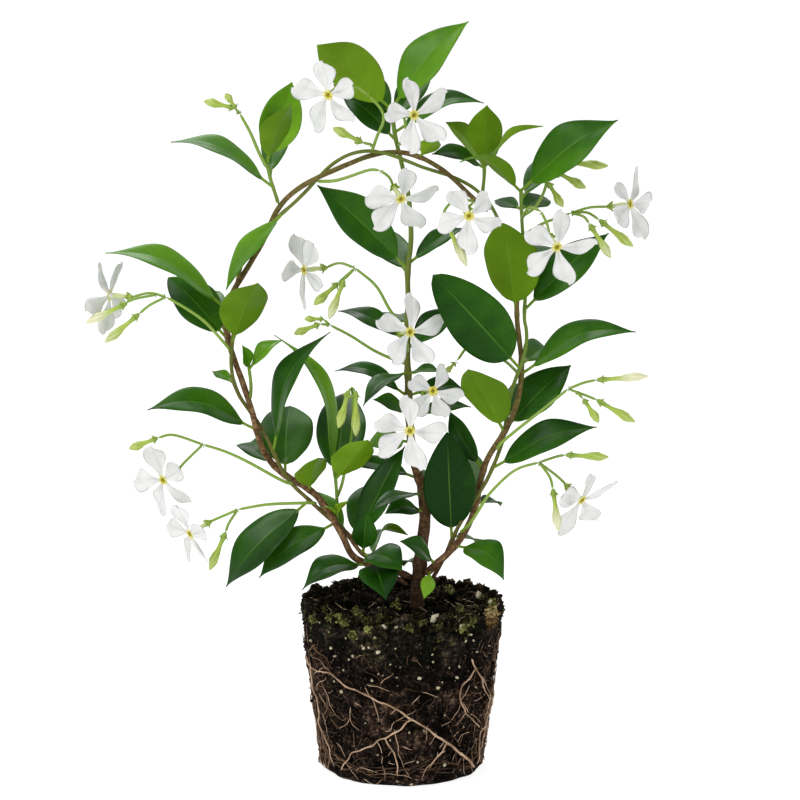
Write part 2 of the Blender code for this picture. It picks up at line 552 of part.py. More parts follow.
def ring_faces(rings, count):
    """Triangles of a closed tube made of rings of count points, with flat ends."""
    faces = []
    for i in range(rings - 1):
        for k in range(count):
            a, b = i * count + k, i * count + (k + 1) % count
            faces += [(a, b, b + count), (a, b + count, a + count)]
    last = (rings - 1) * count
    for k in range(1, count - 1):
        faces += [(0, k + 1, k), (last, last + k, last + k + 1)]
    return faces


def tube(path, radii, sides):
    """A round tube along a path, with a radius a point or radii spread evenly along it."""
    path = np.asarray(path)
    along = tangents(path)
    across = unit(np.cross(along[0], HELPER))
    spread = np.linspace(0, 1, len(path))
    radii = np.interp(spread, np.linspace(0, 1, len(radii)), radii)
    turn = np.linspace(0, 2 * math.pi, sides, endpoint=False)
    rings = []
    for spot, ahead, radius in zip(path, along, radii):
        across = unit(across - ahead * (across @ ahead))
        side = np.cross(ahead, across)
        ring = np.outer(np.cos(turn), across) + np.outer(np.sin(turn), side)
        rings.append(spot + ring * radius)
    return np.vstack(rings), ring_faces(len(path), sides)


def blade_width(share, blunt):
    """Half-width of a blade, as a share of its greatest, along its length."""
    pointed = BLADE_FULLNESS + END_DRAWN_OUT * share**2
    power = pointed + (BLUNT_FULLNESS - pointed) * blunt
    return math.sin(math.pi * share**WIDEST_PLACE) ** power


def leaf(base, base_radius, shape):
    """A leaf from a point on its stem's middle line: petiole, then a folded blade."""
    tip = point(shape.tip)[0]
    chord = tip - base
    ahead = unit(chord)
    up = way(*shape.face)
    up = unit(up - ahead * (up @ ahead))
    side = np.cross(ahead, up)
    root = PETIOLE_SHARE + base_radius / np.linalg.norm(chord)
    rings = []
    stations = BLADE_STATIONS if shape.width >= SMALL_BLADE else SMALL_BLADE_STATIONS
    for blade in (None, 0) + stations:
        share = 0 if blade is None else root + (1 - root) * blade
        wide = shape.width * MM * blade_width(blade or 0, shape.blunt)
        half = max(PETIOLE_RADIUS, wide / 2)
        thick = BLADE_THICKNESS / 2 if blade else PETIOLE_RADIUS
        lift = half * math.tan(FOLD) if blade else 0
        middle = base + chord * share
        middle = middle + up * shape.arch * MM * math.sin(math.pi * share**ARCH_PLACE)
        for x, z in ((-half, lift), (0, 0), (half, lift)):
            rings.append(middle + side * x + up * (z + thick))
        for x, z in ((half, lift), (0, 0), (-half, lift)):
            rings.append(middle + side * x + up * (z - thick))
    faces = []
    for a in range(0, len(rings) - 6, 6):
        b = a + 6
        for p, q in ((0, 1), (1, 2), (2, 3)):
            faces += [(a + p, a + q, b + p), (a + q, b + q, b + p)]
        for p, q in ((3, 4), (4, 5), (5, 0)):
            faces += [(a + p, a + q, b + q), (a + p, b + q, b + p)]
    last = len(rings) - 6
    rings.append(tip)
    faces += [(last + k, last + (k + 1) % 6, last + 6) for k in range(6)]
    faces += [(0, 5, 1), (1, 5, 4), (1, 4, 2), (2, 4, 3)]
    return np.array(rings), faces


def bud(base, tip):
    """A closed bud on its calyx: slim tube, then a pointed spindle."""
    size = min(1, np.linalg.norm(tip - base) / FULL_BUD)
    shares, radii = np.array(BUD_PROFILE).T
    path = base + np.outer(shares, tip - base)
    thin = BUD_SLIMNESS + (1 - BUD_SLIMNESS) * size
    return tube(path, radii * MM * thin, BUD_SIDES)


def petal_rings(bloom, number, middle, face):
    """Rings of one petal, narrow at the throat, broad and cut aslant, and its neck's points."""
    up = unit(np.array([0, 0, 1.0]) - face * face[2])
    turn = math.radians(bloom.turn) + number * 2 * math.pi / PETALS
    reach = bloom.reach * MM
    out = up * math.cos(turn) - np.cross(up, face) * math.sin(turn)
    side = np.cross(face, out)
    rings = []
    for share, before, after in PETAL_OUTLINE:
        for x, z in ((-before, 0.5), (after, 0.5), (after, -0.5), (-before, -0.5)):
            raised = x * math.tan(PETAL_TWIST) * min(1, share * 2 - PETAL_OUTLINE[0][0])
            spot = middle + out * reach * share + side * reach * x
            rings.append(spot + face * (reach * raised + z * PETAL_THICKNESS))
    neck = [middle + out * radius - face * drop for drop, radius in TUBE_PROFILE]
    return rings, neck


def turned_outward(points, faces):
    """The faces, turned over if they look into the shape."""
    corners = points[np.array(faces)]
    volume = np.einsum("ij,ij->i", corners[:, 0], np.cross(corners[:, 1], corners[:, 2])).sum()
    return faces if volume > 0 else [face[::-1] for face in faces]


def new_object(name, shape, collection=None):
    """An object of that name made of points and triangles."""
    points, faces = shape
    points = np.asarray(points)
    middle = points.mean(0)
    faces = turned_outward(points - middle, faces)
    mesh = bpy.data.meshes.new(name)
    mesh.from_pydata([tuple(p) for p in points], [], [tuple(f) for f in faces])
    made = bpy.data.objects.new(name, mesh)
    (collection or bpy.context.scene.collection).objects.link(made)
    return made


def paint(body, finish):
    """Give a node its own material, of that finish."""
    made = bpy.data.materials.new(body.name)
    made.use_nodes = True
    colour, roughness = FINISHES[finish]
    shader = made.node_tree.nodes["Principled BSDF"]
    shader.inputs["Base Color"].default_value = (*colour, 1)
    shader.inputs["Roughness"].default_value = roughness
    shader.inputs["Metallic"].default_value = 0
    made.diffuse_color = (*colour, 1)
    body.data.materials.clear()
    body.data.materials.append(made)


def applied(body):
    """Make a body's modifiers part of its mesh."""
    bpy.context.view_layer.update()
    graph = bpy.context.evaluated_depsgraph_get()
    joined = bpy.data.meshes.new_from_object(body.evaluated_get(graph))
    body.modifiers.clear()
    body.data = joined
    body.data.name = body.name
    joined.shade_smooth()
    joined.set_sharp_from_angle(angle=SHARP_FROM)


def node(name, finish, shapes):
    """One node: the first shape with the others joined to it."""
    body = new_object(name, shapes[0])
    if len(shapes) > 1:
        repeats = bpy.data.collections.new(name + "_repeats")
        bpy.context.scene.collection.children.link(repeats)
        for number, shape in enumerate(shapes[1:]):
            new_object(f"{name}_repeat_{number}", shape, repeats)
        join = body.modifiers.new("join", "BOOLEAN")
        join.operation = "UNION"
        join.operand_type = "COLLECTION"
        join.collection = repeats
        join.solver = "EXACT"
        tidy = body.modifiers.new("flat_faces", "DECIMATE")
        tidy.decimate_type = "DISSOLVE"
        tidy.angle_limit = FLAT_WITHIN
        applied(body)
        for repeat in list(repeats.objects):
            bpy.data.objects.remove(repeat)
        bpy.data.collections.remove(repeats)
    paint(body, finish)
    return body


class Stem:
    """A stem: its middle line in fine steps, and the radii that it goes through."""

    def __init__(self, line, radii):
        self.line = smooth(line, FINE_STEP)
        self.radii = radii

    def radius_at(self, index):
        """Radius at one of the line's points."""
        share = index / (len(self.line) - 1)
        return float(np.interp(share, np.linspace(0, 1, len(self.radii)), self.radii))

    def nearest(self, place):
        """Index of the point that the viewer sees nearest to a place, and how far off."""
        off = seen_from_front(self.line) - np.array(place[:2]) * MM
        off = np.linalg.norm(off, axis=1)
        return int(np.argmin(off)), float(off.min())

    def misses(self, spots, margin):
        """Whether the spots all lie outside the stem by at least the margin."""
        radii = np.array([self.radius_at(i) for i in range(len(self.line))])
        off = np.linalg.norm(self.line[None] - spots[:, None], axis=2) - radii * FLATS_SHARE
        return bool(off.min() > margin)

    def shape(self, step=STEM_STEP, sides=STEM_SIDES):
        """The stem as a tube."""
        return tube(smooth(np.vstack([self.line[:-3:4], self.line[-1:]]), step), self.radii, sides)

    def leaf(self, shape):
        """A leaf growing out of the stem."""
        index, _ = self.nearest(shape.base)
        return leaf(self.line[index], self.radius_at(index), shape)


def started_clear(line, radii, neighbours):
    """A stem along the line, from where it first stands clear of its neighbours."""
    line = smooth(line, FINE_STEP)
    along = tangents(line)
    turn = np.linspace(0, 2 * math.pi, RIM_POINTS, endpoint=False)
    start = 0
    for i in range(int(len(line) * LEAVING_SHARE)):
        spot, ahead = line[i], along[i]
        across = unit(np.cross(ahead, HELPER))
        rim = np.outer(np.cos(turn), across) + np.outer(np.sin(turn), np.cross(ahead, across))
        rim = np.vstack([spot + rim * radii[0], spot])
        if not all(neighbour.misses(rim, GAP) for neighbour in neighbours):
            start = i + 1
    return Stem(line[start:], radii)


def strand(guide, phase, first, last):
    """Middle line of one of the hoop's strands, wound round the guide."""
    run = np.arange(len(guide)) * FINE_STEP
    along = tangents(guide)
    outward = np.cross([0, -1.0, 0], along)
    outward /= np.linalg.norm(outward, axis=1)[:, None]
    inward = np.cross(along, outward)
    angle = TWIST_START + phase + 2 * math.pi * run / TWIST_LENGTH
    half = (WOOD_RADII[0] + TWINER_RADII[0] + 2 * GAP) / 2
    path = guide + half * (np.cos(angle)[:, None] * outward + np.sin(angle)[:, None] * inward)
    return path[first:last]


def guide_index(guide, place):
    """Index of the guide's point that the viewer sees nearest to a place."""
    off = seen_from_front(guide) - np.array(place[:2]) * MM
    return int(np.argmin((off**2).sum(1)))


def make_stems():
    """The centre stem, the hoop's strands and the twigs, by name."""
    centre_line = point(CENTRE_STEM)
    foot = point(CROWN_PLACE)[0]
    foot[2] = BALL_HEIGHT - CROWN_DEPTH
    centre = Stem(np.vstack([foot, foot + [0, 0, CROWN_DEPTH / 2], centre_line]), CENTRE_RADII)
    guide = smooth(point(HOOP), FINE_STEP)
    left_end = guide_index(guide, LEFT_WOOD_END)
    right_end = guide_index(guide, RIGHT_WOOD_END)
    twiner_end = guide_index(guide, LEFT_TWINER_END)
    leaves_hoop = guide_index(guide, RIGHT_TWINER_LEAVES)
    left_wood = started_clear(strand(guide, 0, 0, left_end), WOOD_RADII, [centre])
    right_wood = started_clear(
        strand(guide, 0, right_end, len(guide))[::-1], WOOD_RADII, [centre]
    )
    left_twiner = started_clear(
        strand(guide, math.pi, 0, twiner_end), TWINER_RADII, [centre, left_wood, right_wood]
    )
    climb = strand(guide, math.pi, leaves_hoop, len(guide))[::-1]
    climb = np.vstack([climb[::8], point(TWINER_TIP)])
    right_twiner = started_clear(climb, TWINER_RADII, [centre, right_wood, left_wood])
    stems = {
        "centre_stem": centre,
        "left_arm": left_wood,
        "right_arm": right_wood,
        "left_twiner": left_twiner,
        "right_twiner": right_twiner,
    }
    hoop = [left_wood, right_wood, left_twiner, right_twiner]
    for name, twig in TWIGS.items():
        stems[name] = started_clear(point(twig.course), TWIG_RADII, hoop)
    return stems


def grown_leaves(stems):
    """Leaf shapes of each stem, by the stem's name."""
    grown = {name: [] for name in stems}
    hoop = ("left_arm", "right_arm", "left_twiner", "right_twiner")
    for shape in HOOP_LEAVES:
        near = [name for name in hoop if stems[name].nearest(shape.base)[1] < LEAF_REACH]
        tip = point(shape.tip)[0]
        spots = {name: stems[name].line[stems[name].nearest(shape.base)[0]] for name in near}
        middle = np.mean(list(spots.values()), axis=0)
        name = max(near, key=lambda name: (spots[name] - middle) @ (tip - middle))
        grown[name].append(stems[name].leaf(shape))
    for shape in CENTRE_LEAVES:
        grown["centre_stem"].append(stems["centre_stem"].leaf(shape))
    for shape in TWINER_TIP_LEAVES:
        grown["right_twiner"].append(stems["right_twiner"].leaf(shape))
    for name, twig in TWIGS.items():
        grown[name] += [stems[name].leaf(shape) for shape in twig.leaves]
    return grown


def bloom_seat(bloom):
    """Where a bloom's tube stands, and the way that the bloom looks."""
    face = way(*bloom.face)
    return point(bloom.middle)[0] - face * TUBE_LENGTH, face


def fork_shapes(fork):
    """The stalk of a fork with the calyx or the bud at its end."""
    course = point(fork.course)
    if isinstance(fork.end, str):
        seat, face = bloom_seat(BLOOMS[fork.end])
        foot, rim = seat - face * (CALYX_LENGTH + GAP), seat - face * GAP
        course = np.vstack([course, foot + (rim - foot) * STALK_SINK])
        end = tube([foot, (foot + rim) / 2, rim], CALYX_RADII, STALK_SIDES)
    else:
        end = bud(course[-1], point(fork.end)[0])
    return [tube(smooth(course, STALK_STEP), STALK_RADII[1:] * 2, STALK_SIDES), end]


def make_spray(name, spray, stems):
    """A flower stalk with its forks, calyces and buds."""
    parents = [stems[spray.parent]] if spray.parent in stems else []
    if spray.parent == "hoop":
        parents = [stems[p] for p in ("left_arm", "right_arm", "left_twiner", "right_twiner")]
    stalk = started_clear(point(spray.course), STALK_RADII, parents)
    shapes = [stalk.shape(STALK_STEP, STALK_SIDES)]
    for fork in spray.forks:
        shapes += fork_shapes(fork)
    node(name, "stalk", shapes)


def make_centre_stalk(name, fork, stems):
    """A short flower stalk that leaves the centre stem."""
    seat, face = bloom_seat(BLOOMS[fork.end])
    foot, rim = seat - face * (CALYX_LENGTH + GAP), seat - face * GAP
    course = np.vstack([point(fork.course), foot + (rim - foot) * STALK_SINK])
    stalk = started_clear(course, STALK_RADII, [stems["centre_stem"]])
    calyx = tube([foot, (foot + rim) / 2, rim], CALYX_RADII, STALK_SIDES)
    node(name, "stalk", [stalk.shape(STALK_STEP, STALK_SIDES), calyx])


def make_bloom(name, bloom):
    """Five petals on a slim tube, in one closed skin."""
    seat, face = bloom_seat(bloom)
    middle = seat + face * TUBE_LENGTH
    petals = [petal_rings(bloom, number, middle, face) for number in range(PETALS)]
    points = [spot for rings, _ in petals for spot in rings]
    points += [spot for _, neck in petals for spot in neck]
    points.append(middle - face * THROAT_DEPTH)
    faces = []
    size = 4 * len(PETAL_OUTLINE)
    necks, throat = PETALS * size, len(points) - 1
    for number in range(PETALS):
        own, after = number * size, (number + 1) % PETALS * size
        for a in range(own, own + size - 4, 4):
            for j in range(4):
                k = (j + 1) % 4
                faces += [(a + j, a + 4 + j, a + 4 + k), (a + j, a + 4 + k, a + k)]
        end = own + size - 4
        faces += [(end, end + 3, end + 2), (end, end + 2, end + 1)]
        faces += [(own + 1, own + 2, after + 3), (own + 1, after + 3, after)]
        faces += [(throat, own, own + 1), (throat, own + 1, after)]
        high, high_after = necks + 2 * number, necks + 2 * ((number + 1) % PETALS)
        faces += [(own + 3, high, own + 2), (own + 2, high, after + 3)]
        faces += [(high, high_after, after + 3)]
        faces += [(high, high + 1, high_after + 1), (high, high_after + 1, high_after)]
    faces += [(necks + 1, necks + 2 * k + 3, necks + 2 * k + 1) for k in range(1, PETALS - 1)]
    paint(new_object(name, (points, faces)), "petal")


def ball_radius(turn, height):
    """Radius of the root ball's side, with its crumbly relief, at a share of its height."""
    crumbs = sum(
        share * np.sin(around * turn + upward * height + shift)
        for around, upward, shift, share in SIDE_WAVES
    )
    taper = BALL_BASE_RADIUS + (BALL_TOP_RADIUS - BALL_BASE_RADIUS) * height
    return taper + BALL_ROUGHNESS * (crumbs - SIDE_SINK)


def soil_top(turn, share):
    """Height of the soil's top, at an angle round and a share of the ball's radius."""
    rim = RIM_SIDE_RISE * np.abs(np.sin(turn)) ** 3
    rim = rim + RIM_BACK_RISE * np.maximum(-np.cos(turn), 0) ** 2
    rim = rim - RIM_FRONT_DROP * np.maximum(np.cos(turn), 0)
    rim = rim + RIM_WAVE_HEIGHT * np.sin(RIM_WAVES * turn)
    right = BALL_TOP_RADIUS * share * np.sin(turn)
    near = BALL_TOP_RADIUS * share * np.cos(turn)
    heaps = np.sin(right / CLUMP_WAVES[0] + CLUMP_SHIFTS[0])
    heaps = heaps * np.sin(near / CLUMP_WAVES[1] + CLUMP_SHIFTS[1])
    return BALL_HEIGHT + rim * share**3 + CLUMP_HEIGHT * heaps


def make_root_ball():
    """Peat held by its roots, flat underneath, crumbly on top, with the crown's hole."""
    turn = np.linspace(0, 2 * math.pi, BALL_SIDES, endpoint=False)
    rings = [(BALL_BASE_RADIUS - BALL_CHAMFER + 0 * turn, 0 * turn)]
    for height in np.linspace(BALL_CHAMFER / BALL_HEIGHT, 1, BALL_ROWS):
        rings.append((ball_radius(turn, height), height * BALL_HEIGHT + 0 * turn))
    rings[-1] = (rings[-1][0] - RIM_SETBACK, soil_top(turn, 1))
    for share in TOP_RINGS:
        rings.append((BALL_TOP_RADIUS * share + 0 * turn, soil_top(turn, share)))
    points = [
        np.stack([radius * np.sin(turn), -radius * np.cos(turn), height], 1)
        for radius, height in rings
    ]
    faces = ring_faces(len(rings), BALL_SIDES)[: (len(rings) - 1) * BALL_SIDES * 2]
    points = np.vstack(points + [[[0, 0, 0], [0, 0, soil_top(0, 0)]]])
    under, over = len(points) - 2, len(points) - 1
    last = (len(rings) - 1) * BALL_SIDES
    for k in range(BALL_SIDES):
        after = (k + 1) % BALL_SIDES
        faces += [(under, after, k), (over, last + k, last + after)]
    ball = new_object("root_ball", (points, faces))
    foot = point(CROWN_PLACE)[0]
    low, high = foot.copy(), foot.copy()
    low[2] = BALL_HEIGHT - CROWN_DEPTH - GAP
    high[2] = BALL_HEIGHT + CROWN_DEPTH
    hole = new_object("hole", tube([low, high], (CROWN_RADIUS + 2 * GAP,) * 2, HOLE_SIDES))
    hole.hide_render = True
    hole.display_type = "WIRE"
    cut = ball.modifiers.new("hole", "BOOLEAN")
    cut.operation = "DIFFERENCE"
    cut.object = hole
    cut.solver = "EXACT"
    applied(ball)
    bpy.data.objects.remove(hole)
    paint(ball, "soil")


def on_side(course):
    """Places (degrees round, millimetres up) as points just off the ball's side."""
    course = np.asarray(course, float)
    turn, height = np.radians(course[:, 0]), course[:, 1] * MM / BALL_HEIGHT
    radius = ball_radius(turn, height) + ROOT_LIFT + ROOT_RADII[0]
    return np.stack([radius * np.sin(turn), -radius * np.cos(turn), height * BALL_HEIGHT], 1)


def root_line(course):
    """A root's line over the ball's side, bending with the relief."""
    steps = np.linspace(0, 1, 1 + 2 * len(course))
    course = np.array(course, float)
    own = np.linspace(0, 1, len(course))
    course = np.stack([np.interp(steps, own, course[:, k]) for k in (0, 1)], 1)
    return smooth(on_side(course), ROOT_STEP)


def hidden_roots():
    """Courses of the roots on the ball's far side, wandering down to the matted ring."""
    draw = random.Random(ROOT_SEED)
    courses = []
    for number in range(HIDDEN_ROOTS):
        turn = HIDDEN_FROM + HIDDEN_SPREAD * number / (HIDDEN_ROOTS - 1)
        course = [(turn, draw.uniform(*HIDDEN_TOPS))]
        while course[-1][1] > MATTED_RING_HEIGHT:
            turn += draw.uniform(-HIDDEN_TURN, HIDDEN_TURN)
            height = course[-1][1] - draw.uniform(*HIDDEN_FALLS)
            course.append((turn, max(ROOT_END_HEIGHT, height)))
        courses.append(course)
    return courses


def make_roots():
    """The net of roots on the ball's side, joined by a matted ring at its foot."""
    degrees = np.linspace(0, 360, MATTED_RING_POINTS, endpoint=False)
    wander = MATTED_RING_WANDER * np.sin(np.radians(degrees) * MATTED_RING_WAVES)
    ring = on_side(np.stack([degrees, MATTED_RING_HEIGHT + wander], 1))
    count = len(ring)
    along = np.roll(ring, -1, 0) - np.roll(ring, 1, 0)
    turn = np.linspace(0, 2 * math.pi, ROOT_SIDES, endpoint=False)
    hoops = []
    for spot, ahead in zip(ring, along):
        side = unit(np.cross(unit(ahead), [0, 0, 1.0]))
        rise = np.cross(side, unit(ahead))
        loop = np.outer(np.cos(turn), side) + np.outer(np.sin(turn), rise)
        hoops.append(spot + loop * ROOT_RADII[0])
    faces = []
    for i in range(count):
        for k in range(ROOT_SIDES):
            a, b = i * ROOT_SIDES + k, i * ROOT_SIDES + (k + 1) % ROOT_SIDES
            c, d = (a + ROOT_SIDES) % (count * ROOT_SIDES), (b + ROOT_SIDES) % (count * ROOT_SIDES)
            faces += [(a, b, d), (a, d, c)]
    shapes = [(np.vstack(hoops), faces)]
    for course in list(SEEN_ROOTS) + hidden_roots():
        shapes.append(tube(root_line(course), ROOT_RADII, ROOT_SIDES))
    node("surface_roots", "root", shapes)


def main():
    """Build the plant."""
    for old in list(bpy.data.objects):
        bpy.data.objects.remove(old)
    make_root_ball()
    make_roots()
    stems = make_stems()
    leaves = grown_leaves(stems)
    for name, stem in stems.items():
        node(name, "leaf", [stem.shape()] + leaves[name])
    for name, spray in SPRAYS.items():
        make_spray(name, spray, stems)
    for name, fork in CENTRE_STALKS.items():
        make_centre_stalk(name, fork, stems)
    for name, bloom in BLOOMS.items():
        make_bloom(name, bloom)


main()
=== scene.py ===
"""Star jasmine in flower on its bare root ball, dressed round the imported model.

Metres, +Z up, -Y towards the viewer. Places are written as in the part's source: (across,
up, near) in millimetres, across from the root ball's axis and up from its underside as they
look from the viewer's eye, and near for how far in front of the hoop's plane they lie.
"""

import enum
import itertools
import json
import logging
import math
import random
from collections.abc import Sequence
from dataclasses import dataclass, field
from typing import NamedTuple

import bpy
import numpy as np
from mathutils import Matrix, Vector

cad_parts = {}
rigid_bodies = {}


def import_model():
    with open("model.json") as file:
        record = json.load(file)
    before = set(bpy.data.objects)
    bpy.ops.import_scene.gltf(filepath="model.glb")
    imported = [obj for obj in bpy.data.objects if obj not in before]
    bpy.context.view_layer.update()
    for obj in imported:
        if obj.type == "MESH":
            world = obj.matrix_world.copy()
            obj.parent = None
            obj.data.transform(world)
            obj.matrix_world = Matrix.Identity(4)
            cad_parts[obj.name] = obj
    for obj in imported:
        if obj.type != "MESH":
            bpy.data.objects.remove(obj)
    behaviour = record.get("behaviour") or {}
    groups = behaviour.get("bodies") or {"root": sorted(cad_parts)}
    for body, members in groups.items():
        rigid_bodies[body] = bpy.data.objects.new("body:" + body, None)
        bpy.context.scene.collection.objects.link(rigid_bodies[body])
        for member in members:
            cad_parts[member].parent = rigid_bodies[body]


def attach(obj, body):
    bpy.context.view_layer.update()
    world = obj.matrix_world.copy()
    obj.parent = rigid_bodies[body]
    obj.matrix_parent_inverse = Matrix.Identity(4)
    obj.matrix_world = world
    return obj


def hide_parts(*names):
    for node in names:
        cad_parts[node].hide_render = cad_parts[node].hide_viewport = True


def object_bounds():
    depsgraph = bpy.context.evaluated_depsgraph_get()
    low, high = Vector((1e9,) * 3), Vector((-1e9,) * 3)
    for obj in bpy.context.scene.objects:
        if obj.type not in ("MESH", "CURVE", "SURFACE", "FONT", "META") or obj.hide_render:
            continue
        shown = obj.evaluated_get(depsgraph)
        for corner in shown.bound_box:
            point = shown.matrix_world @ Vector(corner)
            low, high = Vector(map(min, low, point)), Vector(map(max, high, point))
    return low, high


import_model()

CAD_BOX = np.array([list(corner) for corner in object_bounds()])

logging.basicConfig(level=logging.INFO, format="%(message)s")
log = logging.getLogger("star_jasmine")

MM = 0.001
GAP = 0.3 * MM

# The viewer's eye, which the places are read from, and the camera that stands there.
EYE_DISTANCE = 1.5
EYE_TILT = math.radians(11)
LOOKED_AT = np.array([-0.8, 0.0, 151.2]) * MM
SEEN_CENTRE = np.array([-0.8, 145.6]) * MM
SIGHT = np.array([0, math.cos(EYE_TILT), -math.sin(EYE_TILT)])
RISE = np.array([0, math.sin(EYE_TILT), math.cos(EYE_TILT)])
EYE = LOOKED_AT - SIGHT * EYE_DISTANCE
PHOTO_WIDTH = 320 * MM
PIXEL = 0.4
SENSOR_WIDTH = 36.0

# Root ball.
BALL_HEIGHT = 65.5 * MM
BALL_TOP_RADIUS = 41.3 * MM
BALL_BASE_RADIUS = 33.2 * MM
BALL_CHAMFER = 3 * MM
BALL_ROUGHNESS = 0.55 * MM
RIM_SETBACK = 0.5 * MM

# Relief of the ball's side: each wave's turns round the ball, its radians up the ball,
# its shift and its share of the roughness.
SIDE_WAVES = ((7, 9, 0, 0.5), (12, -17, 1, 0.5), (19, 31, 0, 0.33))
SIDE_SINK = 0.6

# The soil's top: heaps, and a rim that stands up at both sides and behind.
CLUMP_HEIGHT = 1.5 * MM
CLUMP_WAVES = (2.7 * MM, 3.1 * MM)
CLUMP_SHIFTS = (1.3, 0.4)
RIM_SIDE_RISE = 3.4 * MM
RIM_BACK_RISE = 2.0 * MM
RIM_FRONT_DROP = 0.6 * MM
RIM_WAVES = 9
RIM_WAVE_HEIGHT = 0.8 * MM

# The crown, and the roots on the side.
CROWN_PLACE = (6, 64.6, 0)
CROWN_DEPTH = 9 * MM
MAIN_ROOT_RADII = (0.28 * MM, 0.3 * MM, 0.42 * MM, 0.6 * MM)
SIDE_ROOT_RADII = (0.36 * MM, 0.3 * MM, 0.2 * MM)
MATTED_RING_HEIGHT = 7

# Geometry: the edge of the noises' random tables, the points between two that a curve goes
# through, the least square share of its radius that a rounded end keeps, a direction that
# no stem or stalk runs along, and how far pieces keep inside the box.
NOISE_CUBES = 32
CURVE_STEPS = 12
END_SQUARE = 0.04
HELPER = np.array([0.31, 0.87, 0.38])
BOX_MARGIN = 0.02 * MM

# Stems.
FINE_STEP = 0.5 * MM
LEAVING_SHARE = 0.4
FOOTING = 6
TWIST_LENGTH = 56 * MM
TWIST_START = math.radians(200)
CENTRE_RADII = tuple(
    r * MM for r in (3.3, 3.3, 2.9, 2.4, 2.0, 1.7, 1.45, 1.3, 1.2, 1.1, 1.0, 0.9)
)
WOOD_RADII = (1.7 * MM, 1.05 * MM)
TWINER_RADII = (1.0 * MM, 0.8 * MM)
TWIG_RADII = (0.9 * MM, 0.7 * MM)
STALK_RADII = (0.7 * MM, 0.55 * MM)
LEFT_WOOD_END = (35.5, 221.2)
RIGHT_WOOD_END = (41.5, 211)
LEFT_TWINER_END = (43.2, 205.6)
RIGHT_TWINER_LEAVES = (47.5, 178)
LEAF_REACH = 5 * MM
HOOP_STRANDS = ("left_arm", "right_arm", "left_twiner", "right_twiner")

# Leaf.
PETIOLE_SHARE = 0.1
FOLD = math.radians(17)
WIDEST_PLACE = 0.85
BLADE_FULLNESS = 0.8
END_DRAWN_OUT = 0.6
BLUNT_FULLNESS = 0.6
PHASE_STEP = 0.618

# Bloom. A petal's end lies a few degrees ahead of its turn, at nearly the whole reach; the
# turn and the reach of one petal may differ so much from those of an even bloom.
PETALS = 5
TUBE_LENGTH = 8 * MM
CALYX_LENGTH = 2.6 * MM
PETAL_TWIST = math.radians(18)
PETAL_LEAD = 5.9
PETAL_STRAY = 14
END_SHARE = 0.97
REACH_SHARES = (0.8, 1.1)


class Slot(enum.Enum):
    """The record's material slots."""

    SOIL = "soil"
    ROOT = "root"
    LEAF = "leaf"
    STALK = "stalk"
    PETAL = "petal"


class Solid(enum.Enum):
    """Which solid a small lump is made from."""

    EIGHT = 8
    TWENTY = 20


class Seed(enum.IntEnum):
    """Where each noise and each random draw starts."""

    COARSE_RELIEF = 1
    FINE_RELIEF = 2
    SLOW_RELIEF = 3
    HIDDEN_ROOTS = 4
    PATCHES = 5
    TOP_RELIEF = 6
    CRUMBS = 11
    PERLITE = 12
    MOSS = 13
    CHIPS = 14
    RUST = 15
    FINE_ROOTS = 17
    CRUMB_SPOTS = 21
    CHIP_SPOTS = 22
    CRUMB_TURNS = 23
    CHIP_TURNS = 24
    CLOD_SPOTS = 25
    SPECK_SPOTS = 31
    PERLITE_TURNS = 32
    MOSS_PATCHES = 41
    MOSS_SPOTS = 43
    MOSS_TURNS = 44
    MOSS_HEAPS = 45
    RUST_HEAP = 46
    RUST_TURNS = 47
    HAIRS = 51
    HAIR_SPOTS = 52
    HAIR_TURNS = 53


class Leaf(NamedTuple):
    """A leaf as it is seen from the front.

    Attributes:
        base: where it leaves its stem.
        tip: its tip.
        width: its width in millimetres.
        face: the way that its upper side looks: right, near and up.
        arch: how far its midrib rises above the straight line, in millimetres.
        blunt: 0 for a long point, 1 for a round end.
        tone: how light its green is, about 0 to 1; it holds the leaf's own green and also painted shade
            and painted sheen, set leaf by leaf.
    """

    base: tuple
    tip: tuple
    width: float
    face: tuple
    arch: float
    blunt: float
    tone: float


class Twig(NamedTuple):
    """A short side stem of the hoop: its course and its leaves."""

    course: tuple
    leaves: tuple


class Bloom(NamedTuple):
    """An open flower.

    Attributes:
        middle: the middle of its face.
        face: the way that it looks: right, near and up.
        turn: the turn of its first petal in degrees.
        reach: its petals' reach in millimetres.
        ends: where each petal's end is seen, right of the middle and above it, in the
            photograph's pixels.
    """

    middle: tuple
    face: tuple
    turn: float
    reach: float
    ends: tuple


class Fork(NamedTuple):
    """A branch of a flower stalk.

    Attributes:
        course: the places that it goes through after its start.
        end: a bloom's name or the place of a bud's tip.
        ripe: 0 for a green bud, 1 for a cream one.
        start: where it leaves its stalk, if that isn't the stalk's end.
    """

    course: tuple
    end: object
    ripe: float = 0.3
    start: tuple = ()


class Spray(NamedTuple):
    """A flower stalk: the stem that it grows from, its course and its forks."""

    parent: str
    course: tuple
    forks: tuple


# Roots seen on the ball's side, each from its thick end: degrees round from the
# front, to the right, and millimetres up.
SEEN_ROOTS = (
    ((-84, 47), (-70, 43.7), (-50, 45), (-28, 40), (-8, 35), (11, 27), (33, 16.6), (58, 4.5)),
    ((-75, 46), (-70, 36), (-65, 21), (-53, 4.5)), ((7, 29.6), (-11, 21), (-36, 12), (-46, 4.5)),
    ((-11, 21.4), (-5, 14), (-2, 4.5)), ((44, 52), (56, 41), (71, 29), (72, 16), (66, 4.5)),
    ((49, 47), (38, 38), (43, 30), (58, 22), (73, 17)), ((31, 18), (22, 11), (13, 4.5)),
)  # fmt: skip

